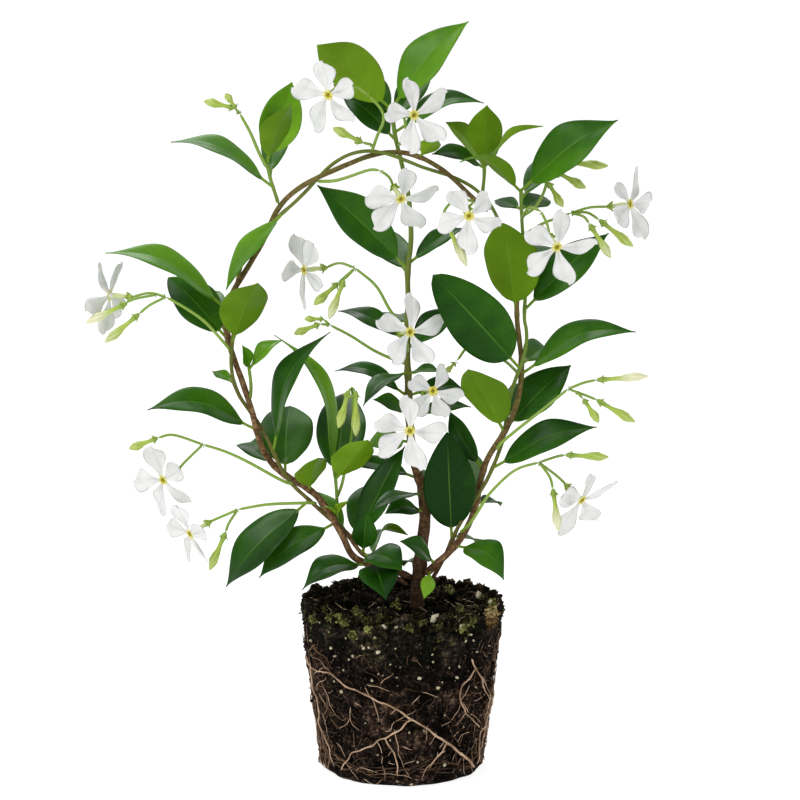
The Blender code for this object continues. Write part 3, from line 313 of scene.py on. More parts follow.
# Finer roots in the viewer's sight: places (across, up) in millimetres.
SEEN_FINE_ROOTS = (
    ((-14.2, 31.7), (-8.7, 30.7), (-4.4, 28.4)), ((-35.6, 35.7), (-33.5, 37.4), (-30.4, 38.4)),
    ((-34.4, 30.8), (-32.6, 33), (-30.1, 34.8)),
    ((-14.8, 30.8), (-11.8, 25.3), (-10.1, 20.4), (-8.7, 14.3)),
    ((-20.6, 22.9), (-20.6, 18), (-19.4, 15.2), (-17.3, 13.6)),
    ((-20.6, 18.3), (-22.8, 15.8), (-24.9, 13.7)), ((-31.3, 30.8), (-29.2, 25), (-26.1, 18.9)),
    ((-33.2, 28.4), (-30.4, 22.9), (-28, 19.8)), ((-19.1, 24.7), (-17, 23.5), (-15.6, 22.3)),
    ((-6.9, 13.1), (-4.7, 13.7), (-2.6, 16.6), (1.7, 19.2), (5.1, 22)),
    ((-10.5, 9.4), (-8.1, 5.1), (-7.6, -1), (-6.8, -6.5)),
    ((-3.2, 14), (-2.3, 9.4), (-1.2, 4.5), (0.8, -1.6), (2.6, -4.7)),
    ((-18.5, -2.7), (-16.1, -1.7), (-11.8, -2.8), (-5.7, -4.2), (1.7, -4.8), (8.1, -7)),
    ((-8.7, 32.2), (-6, 34.2), (-3.2, 35.7)),
    ((27.1, 31.7), (25.5, 28.4), (24, 25), (20.3, 18.6), (15.8, 14.3)),
    ((24.3, 24.7), (26.2, 21.3), (29.2, 18.9), (31.1, 16.8)),
    ((31.1, 36), (34.1, 30.8), (35.5, 23.5), (33.2, 15.5), (32.4, 8.8), (30.3, 4.4)),
    ((27.7, 13), (24.9, 11.9), (21.6, 9.1)), ((17, 9.7), (14.2, 3.9), (11.2, -1), (7.2, -4.2)),
    ((17.6, 5.4), (15.5, 4.4), (13.6, 3)), ((7.2, 27.5), (5.4, 25.6), (3.5, 24.1)),
    ((8.1, 28.7), (11.2, 27.8), (14.2, 26.9)), ((10.3, 15.5), (9.9, 11.9), (9.3, 8.8)),
    ((13.9, 12.5), (12.4, 9.4), (10.9, 7)), ((-2, 22.6), (-3.8, 21), (-5, 19.8)),
    ((0.2, 7), (2.3, 6.2), (4.1, 5.7)), ((-5.7, 3), (-4.1, 5.7)), ((5.4, 1.5), (2.6, 0.2), (0.5, -0.7)),
    ((25.5, 21), (24, 17.4), (21, 14.9)), ((32.3, 27.2), (30.1, 25.6), (28.6, 24.7)),
    ((22.8, 13.1), (20, 10.6)), ((24.9, 2.7), (24.3, -1), (25.2, -4)), ((30.4, 10.6), (28.6, 8.5)),
    ((-5.7, 0.5), (-2.6, -0.1)), ((-26.4, 8.8), (-23.7, 5.7), (-22.5, 2.1)),
    ((-32.3, 21), (-30.1, 14.3), (-28.8, 8.8)), ((21, 3.9), (20, 0.9)),
    ((37.2, 27.8), (34.7, 19.8), (34.1, 13.1), (32, 8.2)), ((-15.4, -5.9), (-10.5, -8.3), (-7.5, -5.9)),
    ((-24.6, -5.3), (-20.3, -7.1), (-16.1, -7.6)),
)  # fmt: skip

# Litter on the soil's top, given in the same way.
LITTER = (
    ((-37, 66.7), (-32.5, 64.5), (-28.1, 61.4)), ((-13.5, 62.3), (-11, 64.6), (-9, 66.3)),
    ((0.3, 65.4), (5.5, 63.5), (11, 60.5)), ((16.8, 65.8), (19.5, 64.4), (22.1, 62.3)),
    ((21.2, 64.5), (26, 63.2), (30.5, 62.3)), ((20.8, 55.6), (24.5, 58.4), (28.3, 60.5)),
    ((24, 65.9), (27, 65.2), (30, 64.7)), ((26.5, 68.9), (28.6, 68.6), (30.4, 68.4)),
    ((-2.5, 60.6), (-0.5, 58.9), (1, 57.2)), ((-27, 64.8), (-24.4, 62.6), (-21, 61.4)),
    ((30, 59.6), (33, 60.6), (35.6, 60.9)), ((4.2, 68.4), (8.6, 66.6), (13.4, 66.2)),
)  # fmt: skip

# White grains in the viewer's sight: across, up and width in millimetres.
SEEN_GRAINS = (
    (13, 57.7, 5.2), (23.8, 54.9, 2.8), (-7.5, 54.8, 3.6), (-2.6, 54.4, 2.4), (6.9, 34.4, 2.3),
    (-9.6, 44.6, 2.2), (-36.4, 49.2, 1.8), (-15.4, 46.3, 1.3), (-13.3, 46.5, 1.3), (-2.6, 46.1, 1.2),
    (-4.7, 39.8, 1.1), (-23.4, 37.6, 1.2), (-21.2, 41.8, 1.7), (-19.7, 43.1, 1.5), (-26.8, 43.1, 1.6),
    (-9.4, 36, 1.1), (-12.1, 33.4, 1.6), (-2.1, 34.6, 1.1), (21.9, 34.8, 1.7), (22.8, 39.1, 1.6),
    (18.9, 38.4, 1), (16.1, 32.7, 1.1), (14.5, 30.5, 1.7), (28.6, 49.4, 1.5), (27.4, 51.8, 1.6),
    (30, 44.9, 1.3), (29.5, 30.8, 1.5), (12.4, 40.9, 1.2), (-24.3, 28.9, 1.6), (-27.1, 33, 1.2),
    (34.8, 47.3, 1), (-4.7, 9.5, 1.2), (6.3, 0.7, 1.3), (17, -0.4, 1.7), (-9.8, 3.6, 1.1),
    (17.1, 19.5, 1.2), (-14.5, 16.5, 1.1), (1.4, 16.1, 1.1), (2.9, 12.5, 1.2), (32.9, 27.8, 1),
    (-2, -7, 0.9), (-30.7, 17.4, 0.9), (-22.5, 50.3, 1.2), (25.5, 49.2, 1.6), (-28.4, 46.4, 1.6),
    (24.6, 14.9, 0.9), (-16.1, 47.3, 1), (20, 69.1, 1.8), (30.4, 67.5, 3.7), (35.3, 64.8, 3.2),
    (0.8, 54.1, 1), (2.9, 54.7, 0.9), (-10.9, 50.5, 1.5),
)  # fmt: skip

# Clumps of moss in the viewer's sight: across, up and radius in millimetres, and tone.
MOSS_CLUMPS = (
    (-13.7, 54, 1.5, 0.85), (-1.9, 63.6, 2.2, 0.7), (-29, 58.7, 1.9, 0.6), (-25.5, 58.7, 1.7, 0.65),
    (-20.1, 51.6, 2, 0.45), (-18.4, 60.9, 1.9, 0.5), (-23.2, 56.5, 2.1, 0.45), (35.9, 64.5, 2.2, 0.6),
    (24.3, 54.3, 2.4, 0.6), (28.8, 57.4, 2, 0.4), (19, 69.4, 1.7, 0.6), (31.4, 67.6, 1.9, 0.65),
    (23.4, 61.8, 1.6, 0.45), (3, 54.3, 2.1, 0.35), (8.3, 56.5, 1.8, 0.4), (-36.1, 57.8, 1.7, 0.3),
    (-9, 58.5, 2.2, 0.25), (14.5, 55, 1.7, 0.3), (-30.5, 62, 1.6, 0.3), (-14.6, 57.6, 1.8, 0.35),
)  # fmt: skip

# Courses of the hoop, the centre stem and the twiner's free end.
HOOP = (
    (3.2, 73, 0.5), (-6.8, 78.4, 3), (-17.6, 83.6, 4), (-22.8, 91.6, 4), (-28.8, 98.8, 3),
    (-35.6, 106.4, 2), (-46.8, 115.6, 1), (-53.2, 124.8, 0), (-58.8, 137.6, 0), (-64.4, 149.6, 0),
    (-67.6, 160.8, 0), (-68.8, 173.6, 0), (-67.6, 186.8, 0), (-62.4, 200.4, 0), (-56, 210.8, 0),
    (-48, 222, 0), (-36.4, 232.4, 0), (-25.2, 240, 0), (-14.4, 244, 0), (-3.2, 244, 0), (8.4, 240.4, 0),
    (22.4, 233.2, 0), (35.2, 221.6, 0), (43.2, 205.6, 0), (46.4, 185.6, 0), (48.4, 167.6, 0),
    (46, 151.6, 0), (41.2, 133.6, 1), (35.6, 121.2, 1), (32, 112, 2), (26.8, 99.6, 3), (19.6, 86.8, 3),
    (9.6, 73.4, 1),
)  # fmt: skip

CENTRE_STEM = (
    (6, 66, 0), (6.4, 72, 0), (7.2, 80.8, 0), (8.8, 94, -1), (9.2, 100.8, -1), (8, 110.8, -2),
    (5.2, 119.6, -3), (3.6, 129.6, -3), (2.8, 141.6, -3), (2.4, 155.6, -4), (2, 167.6, -4),
    (2.4, 185.6, -5), (2.3, 197.6, -5), (3.6, 209.6, -6), (2.8, 225.6, -7), (0, 239.6, -8),
    (-2.4, 249.6, -7), (-4.4, 262.4, -5),
)  # fmt: skip

TWINER_TIP = ((49.4, 190, -4), (49.4, 200, -3), (48.4, 211, -1), (47.8, 221, 0), (47.6, 230, 0))

HOOP_LEAVES = (
    # Up the left side.
    Leaf((-13.2, 82), (-40, 69.6, 14), 15, (0, 0.35, 0.9), 6, 0, 0.12),
    Leaf((-12, 80.5), (-6.4, 65.8, 27), 16, (0, 0.6, 0.75), 3, 0.3, 0.02),
    Leaf((-16, 83.2), (0, 77.6, 21), 16, (0.1, 0.6, 0.75), 3, 0.6, 0.15),
    Leaf((-16, 84), (-14.4, 101.6, 9), 10, (0, 0.9, 0.3), 2, 0.5, 0.1),
    Leaf((-12.8, 82.4), (2.4, 91.6, -9), 13, (0, -0.5, 0.8), 7, 0.6, 0.5),
    Leaf((-20, 88), (1.2, 127.2, -4), 14, (-0.4, 0.75, 0.4), 2, 0.2, 0.1),
    Leaf((-27, 96.5), (-57.2, 74.4, 10), 15, (-0.2, 0.6, 0.7), 5, 0.1, 0.15),
    Leaf((-22, 92), (-35.6, 109.6, -16), 8, (0, 0.4, 0.9), 2, 0, 0.45),
    Leaf((-37, 106), (-70.4, 70.8, 3), 18, (-0.3, 0.7, 0.6), 5, 0.2, 0.12),
    Leaf((-38, 108), (-33.6, 122.4, 22), 14, (-0.4, -0.6, 0.6), 1, 0.6, 0.45),
    Leaf((-47, 115.6), (-44.8, 143.2, -34), 22, (0, 0.75, 0.6), 3, 0.8, 0.22),
    Leaf((-53, 124.6), (-28.8, 172.8, 6), 16, (-0.6, 0.5, 0.6), 9, 0, 0.15),
    Leaf((-58, 134), (-102, 141.6, 8), 17, (0, 0.5, 0.85), 8, 0.1, 0.25),
    Leaf((-65.4, 153), (-76, 157, -7), 6, (0, 0.4, 0.9), 1, 0, 0.5),
    Leaf((-69, 170), (-93.6, 194.6, -14), 18, (0.3, 0.8, 0.5), 3, 0.8, 0.22),
    Leaf((-68.6, 169), (-57.6, 192.4, 26), 19, (-0.2, -0.75, 0.6), 2, 0.5, 0.42),
    Leaf((-68.4, 182), (-118.8, 204.4, 9), 16, (0, 0.45, 0.9), 8, 0, 0.58),
    Leaf((-48, 222), (-70.4, 189.6, 9), 13, (-0.75, 0.55, 0.3), 3, 0.2, 0.6),
    # Down the right side.
    Leaf((6.4, 241.4), (14.4, 249.6, 11), 8, (0.2, -0.5, 0.8), 1, 0.5, 0.8),
    Leaf((47.6, 180), (40.4, 216.4, 12), 24, (0.3, -0.7, 0.6), 2, 0.9, 0.5),
    Leaf((47.6, 182), (82.8, 212.4, -12), 15, (0, 0.8, 0.5), 4, 0.2, 0.2),
    Leaf((47.6, 158), (12.4, 195.6, 16), 23, (-0.1, 0.9, 0.3), 3, 1, 0.14),
    Leaf((47.4, 156), (93.6, 172.8, 4), 16, (0, 0.5, 0.85), 8, 0.1, 0.3),
    Leaf((41, 132.6), (26.4, 157.8, 25), 19, (0.2, -0.7, 0.6), 2, 0.7, 0.48),
    Leaf((41.6, 134), (67.6, 159.6, -14), 17, (-0.3, 0.8, 0.5), 2, 0.4, 0.14),
    Leaf((35, 119), (78, 134.8, 4), 15, (0, 0.65, 0.75), 6, 0.2, 0.12),
    Leaf((34, 117), (18.8, 141.6, -16), 9, (-0.6, 0.3, 0.7), 2, 0.2, 0.05),
    Leaf((29, 104.4), (39.6, 103.2, -14), 8, (0, 0.4, 0.9), 2, 0, 0.1),
    Leaf((21, 89), (18, 132.8, 5), 21, (0, 0.95, 0.2), 2, 0.7, -0.1),
    Leaf((20.6, 88), (40.8, 73.6, 15), 15, (0.1, 0.55, 0.8), 7, 0.4, 0.3),
    Leaf((14, 79), (-0.8, 89.2, 12), 11, (0.1, 0.6, 0.8), 2, 0.4, 0.15),
    Leaf((12.4, 76.6), (8.8, 66, 15), 6, (0.2, 0.6, 0.7), 1, 0.2, 0.95),
    # Behind, out of the viewer's sight.
    Leaf((-21, 90), (-8, 112, -24), 15, (0, 0.3, 0.9), 4, 0.3, 0.25),
    Leaf((-69, 172), (-85, 184, -40), 13, (0, 0.2, 0.9), 8, 0.3, 0.25),
    Leaf((-50, 120), (-62, 126, -30), 15, (-0.2, 0.2, 0.9), 6, 0.3, 0.25),
    Leaf((47.8, 160), (59, 162, -38), 14, (0.3, 0.1, 0.9), 6, 0.3, 0.25),
    Leaf((43, 139), (58, 146, -44), 16, (0, 0.3, 0.9), 6, 0.3, 0.25),
    Leaf((30, 107), (20, 124, -30), 17, (0, 0.3, 0.9), 3, 0.3, 0.25),
    Leaf((22, 91), (33.6, 79.6, -26), 11, (0.1, 0.2, 0.9), 5, 0.3, 0.25),
    Leaf((44.6, 200), (64, 205, -38), 15, (0, 0.3, 0.9), 2, 0.3, 0.25),
)

CENTRE_LEAVES = (
    Leaf((2.3, 198), (-34, 231.6, -5), 19, (0.3, 0.8, 0.5), 2, 0.3, 0.24),
    Leaf((2.6, 200), (25.6, 214.4, -14), 10, (-0.2, 0.5, 0.8), 3, 0.2, 0.15),
    Leaf((2, 169.2), (-25.6, 181.2, -16), 10, (0, 0.5, 0.85), 4, 0, 0.1),
    Leaf((2, 166), (22, 182, -14), 12, (0, 0.6, 0.7), 3, 0.2, 0.1),
    Leaf((2.4, 157), (-15.6, 143.2, 17), 10, (-0.3, 0.5, 0.8), 4, 0, 0.1),
    Leaf((2.4, 156), (15.2, 156.8, 7), 7, (0, 0.5, 0.8), 2, 0, 0.25),
    Leaf((2.6, 147), (-26.8, 157.2, -8), 10, (0, 0.4, 0.9), 6, 0.1, 0.1),
    Leaf((2.6, 147.6), (25.2, 149.6, -9), 10, (0, 0.6, 0.7), 4, 0.1, 0.15),
    Leaf((2.8, 140), (-11.6, 145.8, 5), 9, (0, 0.6, 0.7), 2, 0.3, 0.3),
    Leaf((2.8, 139), (27.6, 142.8, -12), 8, (0, 0.5, 0.8), 3, 0.2, 0.15),
    Leaf((3.6, 129), (-14.4, 127.4, 4), 11, (0, 0.7, 0.6), 3, 0.3, 0.6),
    Leaf((7, 114), (-22.4, 120.2, -14), 9, (0, 0.5, 0.8), 3, 0.2, 0.15),
    Leaf((8.4, 108.5), (-12, 101, 25), 9, (-0.2, 0.5, 0.8), 3, 0.3, 0.1),
    Leaf((9.2, 100.8), (-6.8, 100.2, 15), 11, (0, 0.6, 0.7), 3, 0.5, 0.1),
    Leaf((7.2, 80), (0.6, 79.2, -14), 8, (0, 0.3, 0.9), 2, 0.2, 0.2),
    Leaf((-4.3, 262), (-34, 287.6, 8), 20, (-0.3, -0.7, 0.6), 5, 0.6, 0.7),
    Leaf((-4.3, 262), (26.8, 297.2, -10), 19, (-0.3, 0.7, 0.6), 4, 0.1, 0.6),
    Leaf((-2.4, 249.4), (-24.4, 267.4, -19), 13, (0, 0.6, 0.7), 3, 0.2, 0.1),
    Leaf((-3, 252.6), (32.8, 264.4, -12), 13, (0, 0.45, 0.9), 7, 0.1, 0.25),
    # Behind.
    Leaf((2.4, 196), (-14, 214, -36), 16, (0, 0.3, 0.9), 2, 0.3, 0.25),
    Leaf((2.2, 176), (-2, 174, -42), 14, (0, 0.3, 0.9), 5, 0.3, 0.25),
    Leaf((-3.6, 257), (11, 279, -32), 12, (0, 0.5, 0.9), 2, 0.3, 0.25),
    Leaf((8.6, 104), (16, 112, -38), 15, (0, 0.3, 0.9), 7, 0.3, 0.25),
    Leaf((-4, 259), (-19, 276, -26), 11, (0, 0.3, 0.9), 3, 0.3, 0.25),
)

TWIGS = {
    "low_left_twig": Twig(((-26, 96.4, 3), (-26, 105, 4), (-26.6, 114.5, 5)), (
        Leaf((-26.6, 114), (-13.6, 129.6, 24), 16, (0.1, -0.35, 0.9), 0, 0.7, 0.6),
        Leaf((-26.6, 114), (-22.8, 148.4, -26), 20, (0, 0.75, 0.6), 3, 0.9, 0.15),
        Leaf((-26.6, 113.6), (-51, 171.6, -4), 14, (0.5, 0.2, 0.85), 11, 0, 0.75),
        Leaf((-26, 100), (-22, 105, 12), 6, (0, 0.2, 0.9), 1, 0.2, 0.9),
        Leaf((-26, 100), (-31, 103, 12), 4, (0, 0.2, 0.9), 0.5, 0.2, 0.8),
    )),
    "left_sprig": Twig(((-61, 144, 1), (-60.4, 151, 3), (-61.2, 158, 4)), (
        Leaf((-61.2, 158), (-47.6, 169.6, 5), 8, (0, 0.5, 0.8), 3, 0.1, 0.65),
        Leaf((-61.2, 157.4), (-63.8, 167.6, 9), 6, (0.2, 0.6, 0.6), 1, 0.1, 0.5),
    )),
    "top_left_twig": Twig(((-49.4, 224, 1), (-52.4, 233.4, 2), (-54.4, 241.2, 1)), (
        Leaf((-52, 231), (-92.4, 248.8, 2), 15, (0, 0.3, 0.95), 6, 0.1, 0.45),
        Leaf((-54.2, 240.6), (-44, 272.8, -8), 17, (0.3, 0.9, 0.2), 2, 0.5, 0.75),
        Leaf((-54, 240), (-44.4, 264, 14), 13, (-0.4, -0.7, 0.5), 2, 0.4, 0.42),
        Leaf((-52.8, 234.6), (-47.6, 256, -30), 11, (0, 0.3, 0.9), 3, 0.3, 0.3),
    )),
    "top_right_twig": Twig(((32, 227, -1), (32.8, 234, -3), (33, 240.6, -4)), (
        Leaf((33, 240), (34, 263.6, 4), 14, (0, -0.8, 0.3), 1, 0.4, 0.5),
        Leaf((33, 239.6), (17.6, 256.8, -16), 13, (0.3, -0.7, 0.5), 2, 0.5, 0.6),
        Leaf((33, 238.6), (12, 244, 10), 11, (0, 0.6, 0.8), 3, 0.3, 0.1),
        Leaf((33, 240), (56.4, 255.2, -15), 11, (0.2, -0.5, 0.8), 4, 0.1, 0.85),
        Leaf((32.9, 237), (33.6, 250, -38), 10, (0, 0.3, 0.9), 3, 0.3, 0.3),
    )),
}  # fmt: skip

TWINER_TIP_LEAVES = (
    Leaf((47.6, 229.4), (86.4, 257.6, 6), 20, (-0.3, 0.75, 0.55), 5, 0.2, 0.32),
    Leaf((47.6, 229), (23.2, 240.8, 20), 12, (0.2, -0.4, 0.9), 6, 0.5, 0.55),
    Leaf((47.8, 222), (57.8, 226.4, -24), 11, (0, 0.7, 0.6), 1, 0.7, 0.2),
    Leaf((47.8, 222), (37, 225.4, -20), 7, (0, 0.7, 0.6), 1, 0.3, 0.15),
    Leaf((47.7, 226), (63.6, 244, -37), 11, (0, 0.3, 0.9), 3, 0.3, 0.25),
)

BLOOMS = {
    "bloom_top_left": Bloom((-29.6, 267.6, 14), (-0.4, 0.9, -0.2), 1, 15,
        ((-4, 32), (-35, 8), (-15, -35), (22, -27), (20, 7))),
    "bloom_top": Bloom((4.8, 259.6, 20), (0.4, 0.9, 0.05), 5, 15.6,
        ((-5, 36), (-26, 3), (-4, -37), (27, -26), (32, 21))),
    "bloom_under_arch": Bloom((-0.4, 226, 15), (0.3, 0.87, -0.4), -8, 15.4,
        ((8, 29), (-33, 3), (-27, -28), (18, -30), (36, 7))),
    "bloom_arch_right": Bloom((26.8, 219.2, 20), (0.05, 1, -0.15), 26, 14.2,
        ((-16, 25), (-31, -9), (-2, -38), (29, -12), (18, 18))),
    "bloom_right": Bloom((62, 206.8, 23), (0.25, 0.93, -0.3), -20, 15.8,
        ((5, 36), (-29, 17), (-30, -23), (10, -37), (38, 2))),
    "bloom_far_right": Bloom((91.2, 224, 0), (0.8, 0.56, 0.18), -31, 15,
        ((9, 35), (-13, 17), (-11, -15), (15, -35), (26, 3))),
    "bloom_left_inner": Bloom((-39.2, 197.6, -3), (-0.83, 0.56, 0), 26, 15.2,
        ((-8, 35), (-27, -2), (-1, -37), (17, -17), (9, 24))),
    "bloom_centre": Bloom((3.2, 172.8, 17), (0.4, 0.9, 0.17), -13, 15.4,
        ((2, 37), (-32, 13), (-19, -29), (17, -31), (34, 10))),
    "bloom_centre_small": Bloom((12.4, 149.2, 15), (0.35, 0.93, 0.1), -28, 12.4,
        ((13, 24), (-22, 11), (-14, -24), (10, -26), (29, -7))),
    "bloom_centre_low": Bloom((3.2, 133.2, 27), (0, 1, 0.15), -19, 15.2,
        ((-2, 34), (-33, 11), (-32, -21), (8, -38), (35, -2))),
    "bloom_far_left": Bloom((-116.8, 187.6, 0), (-0.85, -0.5, 0), -30, 15,
        ((-12, 28), (9, 34), (8, -22), (-4, -38), (-23, -17))),
    "bloom_left_low": Bloom((-95.6, 113.6, 10), (-0.58, 0.77, -0.26), 13, 15.2,
        ((-11, 32), (-34, -1), (-4, -36), (26, -23), (15, 10))),
    "bloom_left_lowest": Bloom((-84.8, 92, 16), (-0.75, 0.56, -0.36), -2, 14.8,
        ((-12, 28), (-28, 12), (-3, -28), (15, -27), (13, 3))),
    "bloom_right_low": Bloom((72, 105.6, 14), (0.6, 0.65, -0.45), -1, 15.8,
        ((10, 25), (-19, 5), (-24, -33), (12, -23), (36, 18))),
}  # fmt: skip

CENTRE_STALKS = {
    "stalk_top": Fork(((-1.8, 247.6, -7.5), (1.2, 249.6, 0), (1.4, 255.4, 6)), "bloom_top"),
    "stalk_centre": Fork(((2.2, 164.4, -4), (1.8, 168, 1)), "bloom_centre"),
    "stalk_centre_small": Fork(((3, 143.6, -3), (7, 145, 1)), "bloom_centre_small"),
    "stalk_centre_low": Fork(((3.2, 128.6, -3), (4.2, 129.2, 8)), "bloom_centre_low"),
}

SPRAYS = {
    "spray_top_left": Spray("top_left_twig", (
        (-53.4, 237, 1), (-57.4, 245, 4), (-60.8, 252.8, 5), (-64.8, 260, 5),
    ), (
        Fork(((-67, 262.4, 5),), (-79.2, 265.2, 5)),
        Fork(((-66.4, 262.2, 7),), (-70.6, 268.2, 10)),
    )),
    "spray_top": Spray("hoop", (
        (-12.4, 244, 0), (-10, 251, 6), (-7.4, 257.4, 8), (-8.4, 262, 9), (-13.2, 267.2, 8),
    ), (
        Fork(((-18, 270.5, 6.5),), "bloom_top_left"),
        Fork(((-16, 248.6, 6),), (-27.6, 254.4, 12), start=(-11.4, 247.6, 3)),
    )),
    "spray_under_arch": Spray("hoop", (
        (-35, 233, 0), (-28, 233.2, 4), (-22.8, 234.4, 5), (-13.2, 237.6, 6), (-8.8, 237.4, 8),
    ), (
        Fork(((-5.2, 234.8, 8),), "bloom_under_arch"),
    )),
    "spray_arch_right": Spray("hoop", ((35.2, 221.6, 0), (33.5, 224.4, 6), (29, 225, 9)), (
        Fork(((27.4, 223.6, 9),), "bloom_arch_right"),
        Fork(((22, 226, 9), (17, 221.4, 9.5), (17.4, 217, 10.5)), (26, 199.2, 13), 0.75),
    )),
    "spray_right_front": Spray("right_twiner", ((47.8, 218, 0), (51, 222.6, 7), (55.6, 221, 10)), (
        Fork(((58, 216, 11.5),), "bloom_right"),
    )),
    "spray_right_buds": Spray("right_twiner", (
        (47.9, 219, 0), (53, 222.6, -3), (57, 229.5, -6.5), (58.5, 238, -7),
    ), (
        Fork(((63.6, 240.8, -7),), (82.4, 239.2, -5)),
        Fork(((61.6, 237, -6),), (73.5, 230.4, -3)),
        Fork(((58.4, 232.6, -4.6),), (64.4, 222.8, -1), start=(57.4, 233, -6.6)),
    )),
    "spray_far_right": Spray("right_twiner", ((48.2, 211, 1), (56, 216, -5), (67.6, 220.4, -7)), (
        Fork(((75, 222.6, -4),), "bloom_far_right"),
        Fork(((74, 220.6, -8), (79, 217.6, -8)), (92.4, 207, -8)),
        Fork(((72.6, 219, -3), (75, 216, -1)), (83.6, 202.4, 1), 0.55),
    )),
    "spray_centre_left": Spray("centre_stem", (
        (2, 172.5, -4), (-4.8, 181.6, -6), (-10.4, 191.2, -7), (-18.8, 198.4, -6),
    ), (
        Fork(((-25, 200.4, -7),), "bloom_left_inner"),
        Fork(((-25.6, 192.4, -4),), (-35.2, 183.6, -1)),
        Fork(((-23.2, 193.6, -2),), (-29.2, 178, 3), 0.6),
    )),
    "spray_centre_left_low": Spray("centre_stem", (
        (2.4, 160, -4), (-1.2, 161, -7), (-10.8, 165.2, -7), (-20.4, 171.2, -6), (-28.8, 175.6, -4),
    ), (
        Fork(((-33, 176, -2),), (-43.2, 172, 0)),
        Fork(((-31.5, 178, -3),), (-39, 178, -2)),
    )),
    "spray_twig_buds": Spray("low_left_twig", (
        (-26.3, 106, 4), (-24, 112, 1), (-22, 122, 3), (-20, 132, 6), (-19.5, 142, 12), (-20, 150.5, 16),
    ), (
        Fork(((-21.4, 149.4, 18),), (-25.4, 134.4, 21), 0.3),
        Fork(((-18.6, 149.2, 17.5),), (-18.4, 131, 19), 0.35),
    )),
    "spray_far_left": Spray("hoop", (
        (-68.2, 165, 0), (-71.6, 169, 6), (-78.8, 176.8, 8), (-86, 182, 9), (-94.4, 186.8, 8),
    ), (
        Fork(((-101, 188.4, 6),), "bloom_far_left"),
        Fork(((-107, 186, 9.5), (-110, 184.4, 10)), (-126.4, 176.4, 11), 0.9, start=(-98, 187.8, 7)),
        Fork(((-100.8, 183.6, 10), (-105.2, 180, 10)), (-118.8, 168.6, 11), 0.45),
    )),
    "spray_left_low": Spray("hoop", (
        (-42, 111.6, 1), (-48, 113.4, 6), (-62, 121, 8), (-70.8, 125, 8), (-79.6, 127.8, 8),
    ), (
        Fork(((-91.4, 131.6, 12), (-97.8, 130.4, 15)), (-109.2, 126, 17)),
        Fork(((-84, 123.6, 5), (-87.8, 119.8, 3)), "bloom_left_low"),
    )),
    "spray_left_lowest": Spray("hoop", (
        (-34, 104.4, 2), (-40, 104.4, 8), (-54, 103.8, 11), (-65.6, 101.8, 13),
    ), (
        Fork(((-73, 98.6, 13),), "bloom_left_lowest"),
        Fork(((-69.2, 96.4, 11), (-70.6, 92.6, 10)), (-77, 77.6, 11)),
    )),
    "spray_right": Spray("hoop", ((37.4, 125, 1), (41, 129.6, 7), (57, 142.4, 10), (66.4, 150, 10)), (
        Fork(((73, 152.6, 8), (78, 153.6, 7.5)), (98.4, 155.2, 7), 1),
        Fork(((73.2, 147.6, 10), (78, 145.6, 9.5)), (93.2, 136.8, 9)),
        Fork(((72.6, 146, 12),), (78.8, 136.6, 14), start=(69.6, 149, 10)),
    )),
    "spray_right_low": Spray("hoop", (
        (22.6, 92, 3), (27, 96, 9), (31, 102, 10), (34.6, 107.6, 10), (41.4, 114.6, 10), (47, 118.4, 10),
        (54.8, 120.6, 10),
    ), (
        Fork(((62, 123, 10), (65.6, 123.6, 10)), (82.6, 122.8, 10)),
        Fork(((59, 115, 14), (60.4, 110, 19)), (62.6, 93.2, 24), 0.85),
        Fork(((61, 116, 8.6), (64.4, 113, 8)), "bloom_right_low"),
    )),
    "spray_behind_leaf": Spray("hoop", (
        (46.8, 156, 0), (40, 162, -7), (28, 167.4, -7), (22, 161.4, -4),
    ), (
        Fork(((21.2, 160.6, -3.4),), (17.6, 156.6, 0)),
    )),
}  # fmt: skip


def point(places: Sequence) -> np.ndarray:
    """World points of places that are given as the viewer sees them.

    The sight ray from the eye through (across, up) is followed to the upright plane that
    lies near in front of the hoop's.

    Args:
        places: one place or several, (across, up, near) in millimetres.

    Returns:
        The points, in metres, one a row.
    """
    across, up, near = np.atleast_2d(np.asarray(places, float)).T * MM
    seen = LOOKED_AT + np.outer(across - SEEN_CENTRE[0], [1, 0, 0])
    seen = seen + np.outer(up - SEEN_CENTRE[1], RISE)
    share = (-near - EYE[1]) / (seen[:, 1] - EYE[1])
    return EYE + (seen - EYE) * share[:, None]


def seen_from_front(points: np.ndarray) -> np.ndarray:
    """Where the viewer sees world points.

    Args:
        points: world points, one a row.

    Returns:
        Across and up in metres, one row a point.
    """
    ray = np.atleast_2d(points) - EYE
    away = ray @ SIGHT
    across = ray[:, 0] * EYE_DISTANCE / away + SEEN_CENTRE[0]
    return np.stack([across, ray @ RISE * EYE_DISTANCE / away + SEEN_CENTRE[1]], 1)


def unit(vectors: np.ndarray) -> np.ndarray:
    """The vectors at length 1."""
    return vectors / np.linalg.norm(vectors, axis=-1, keepdims=True)


def way(right: float, near: float, up: float) -> np.ndarray:
    """World direction of a way to the right, towards the viewer and up."""
    return unit(np.array([right, -near, up], float))


def square_to(ahead: np.ndarray) -> tuple[np.ndarray, np.ndarray]:
    """Two directions square to a given one and to each other."""
    across = unit(np.cross(ahead, HELPER))
    return across, np.cross(ahead, across)


def eased(value: np.ndarray, low: float, high: float) -> np.ndarray:
    """0 at low, 1 at high, held beyond them, and 3t² - 2t³ between."""
    t = np.clip((np.asarray(value, float) - low) / (high - low), 0, 1)
    return t * t * (3 - 2 * t)


def turns(count: int) -> np.ndarray:
    """Even angles once round."""
    return np.linspace(0, 2 * math.pi, count, endpoint=False)


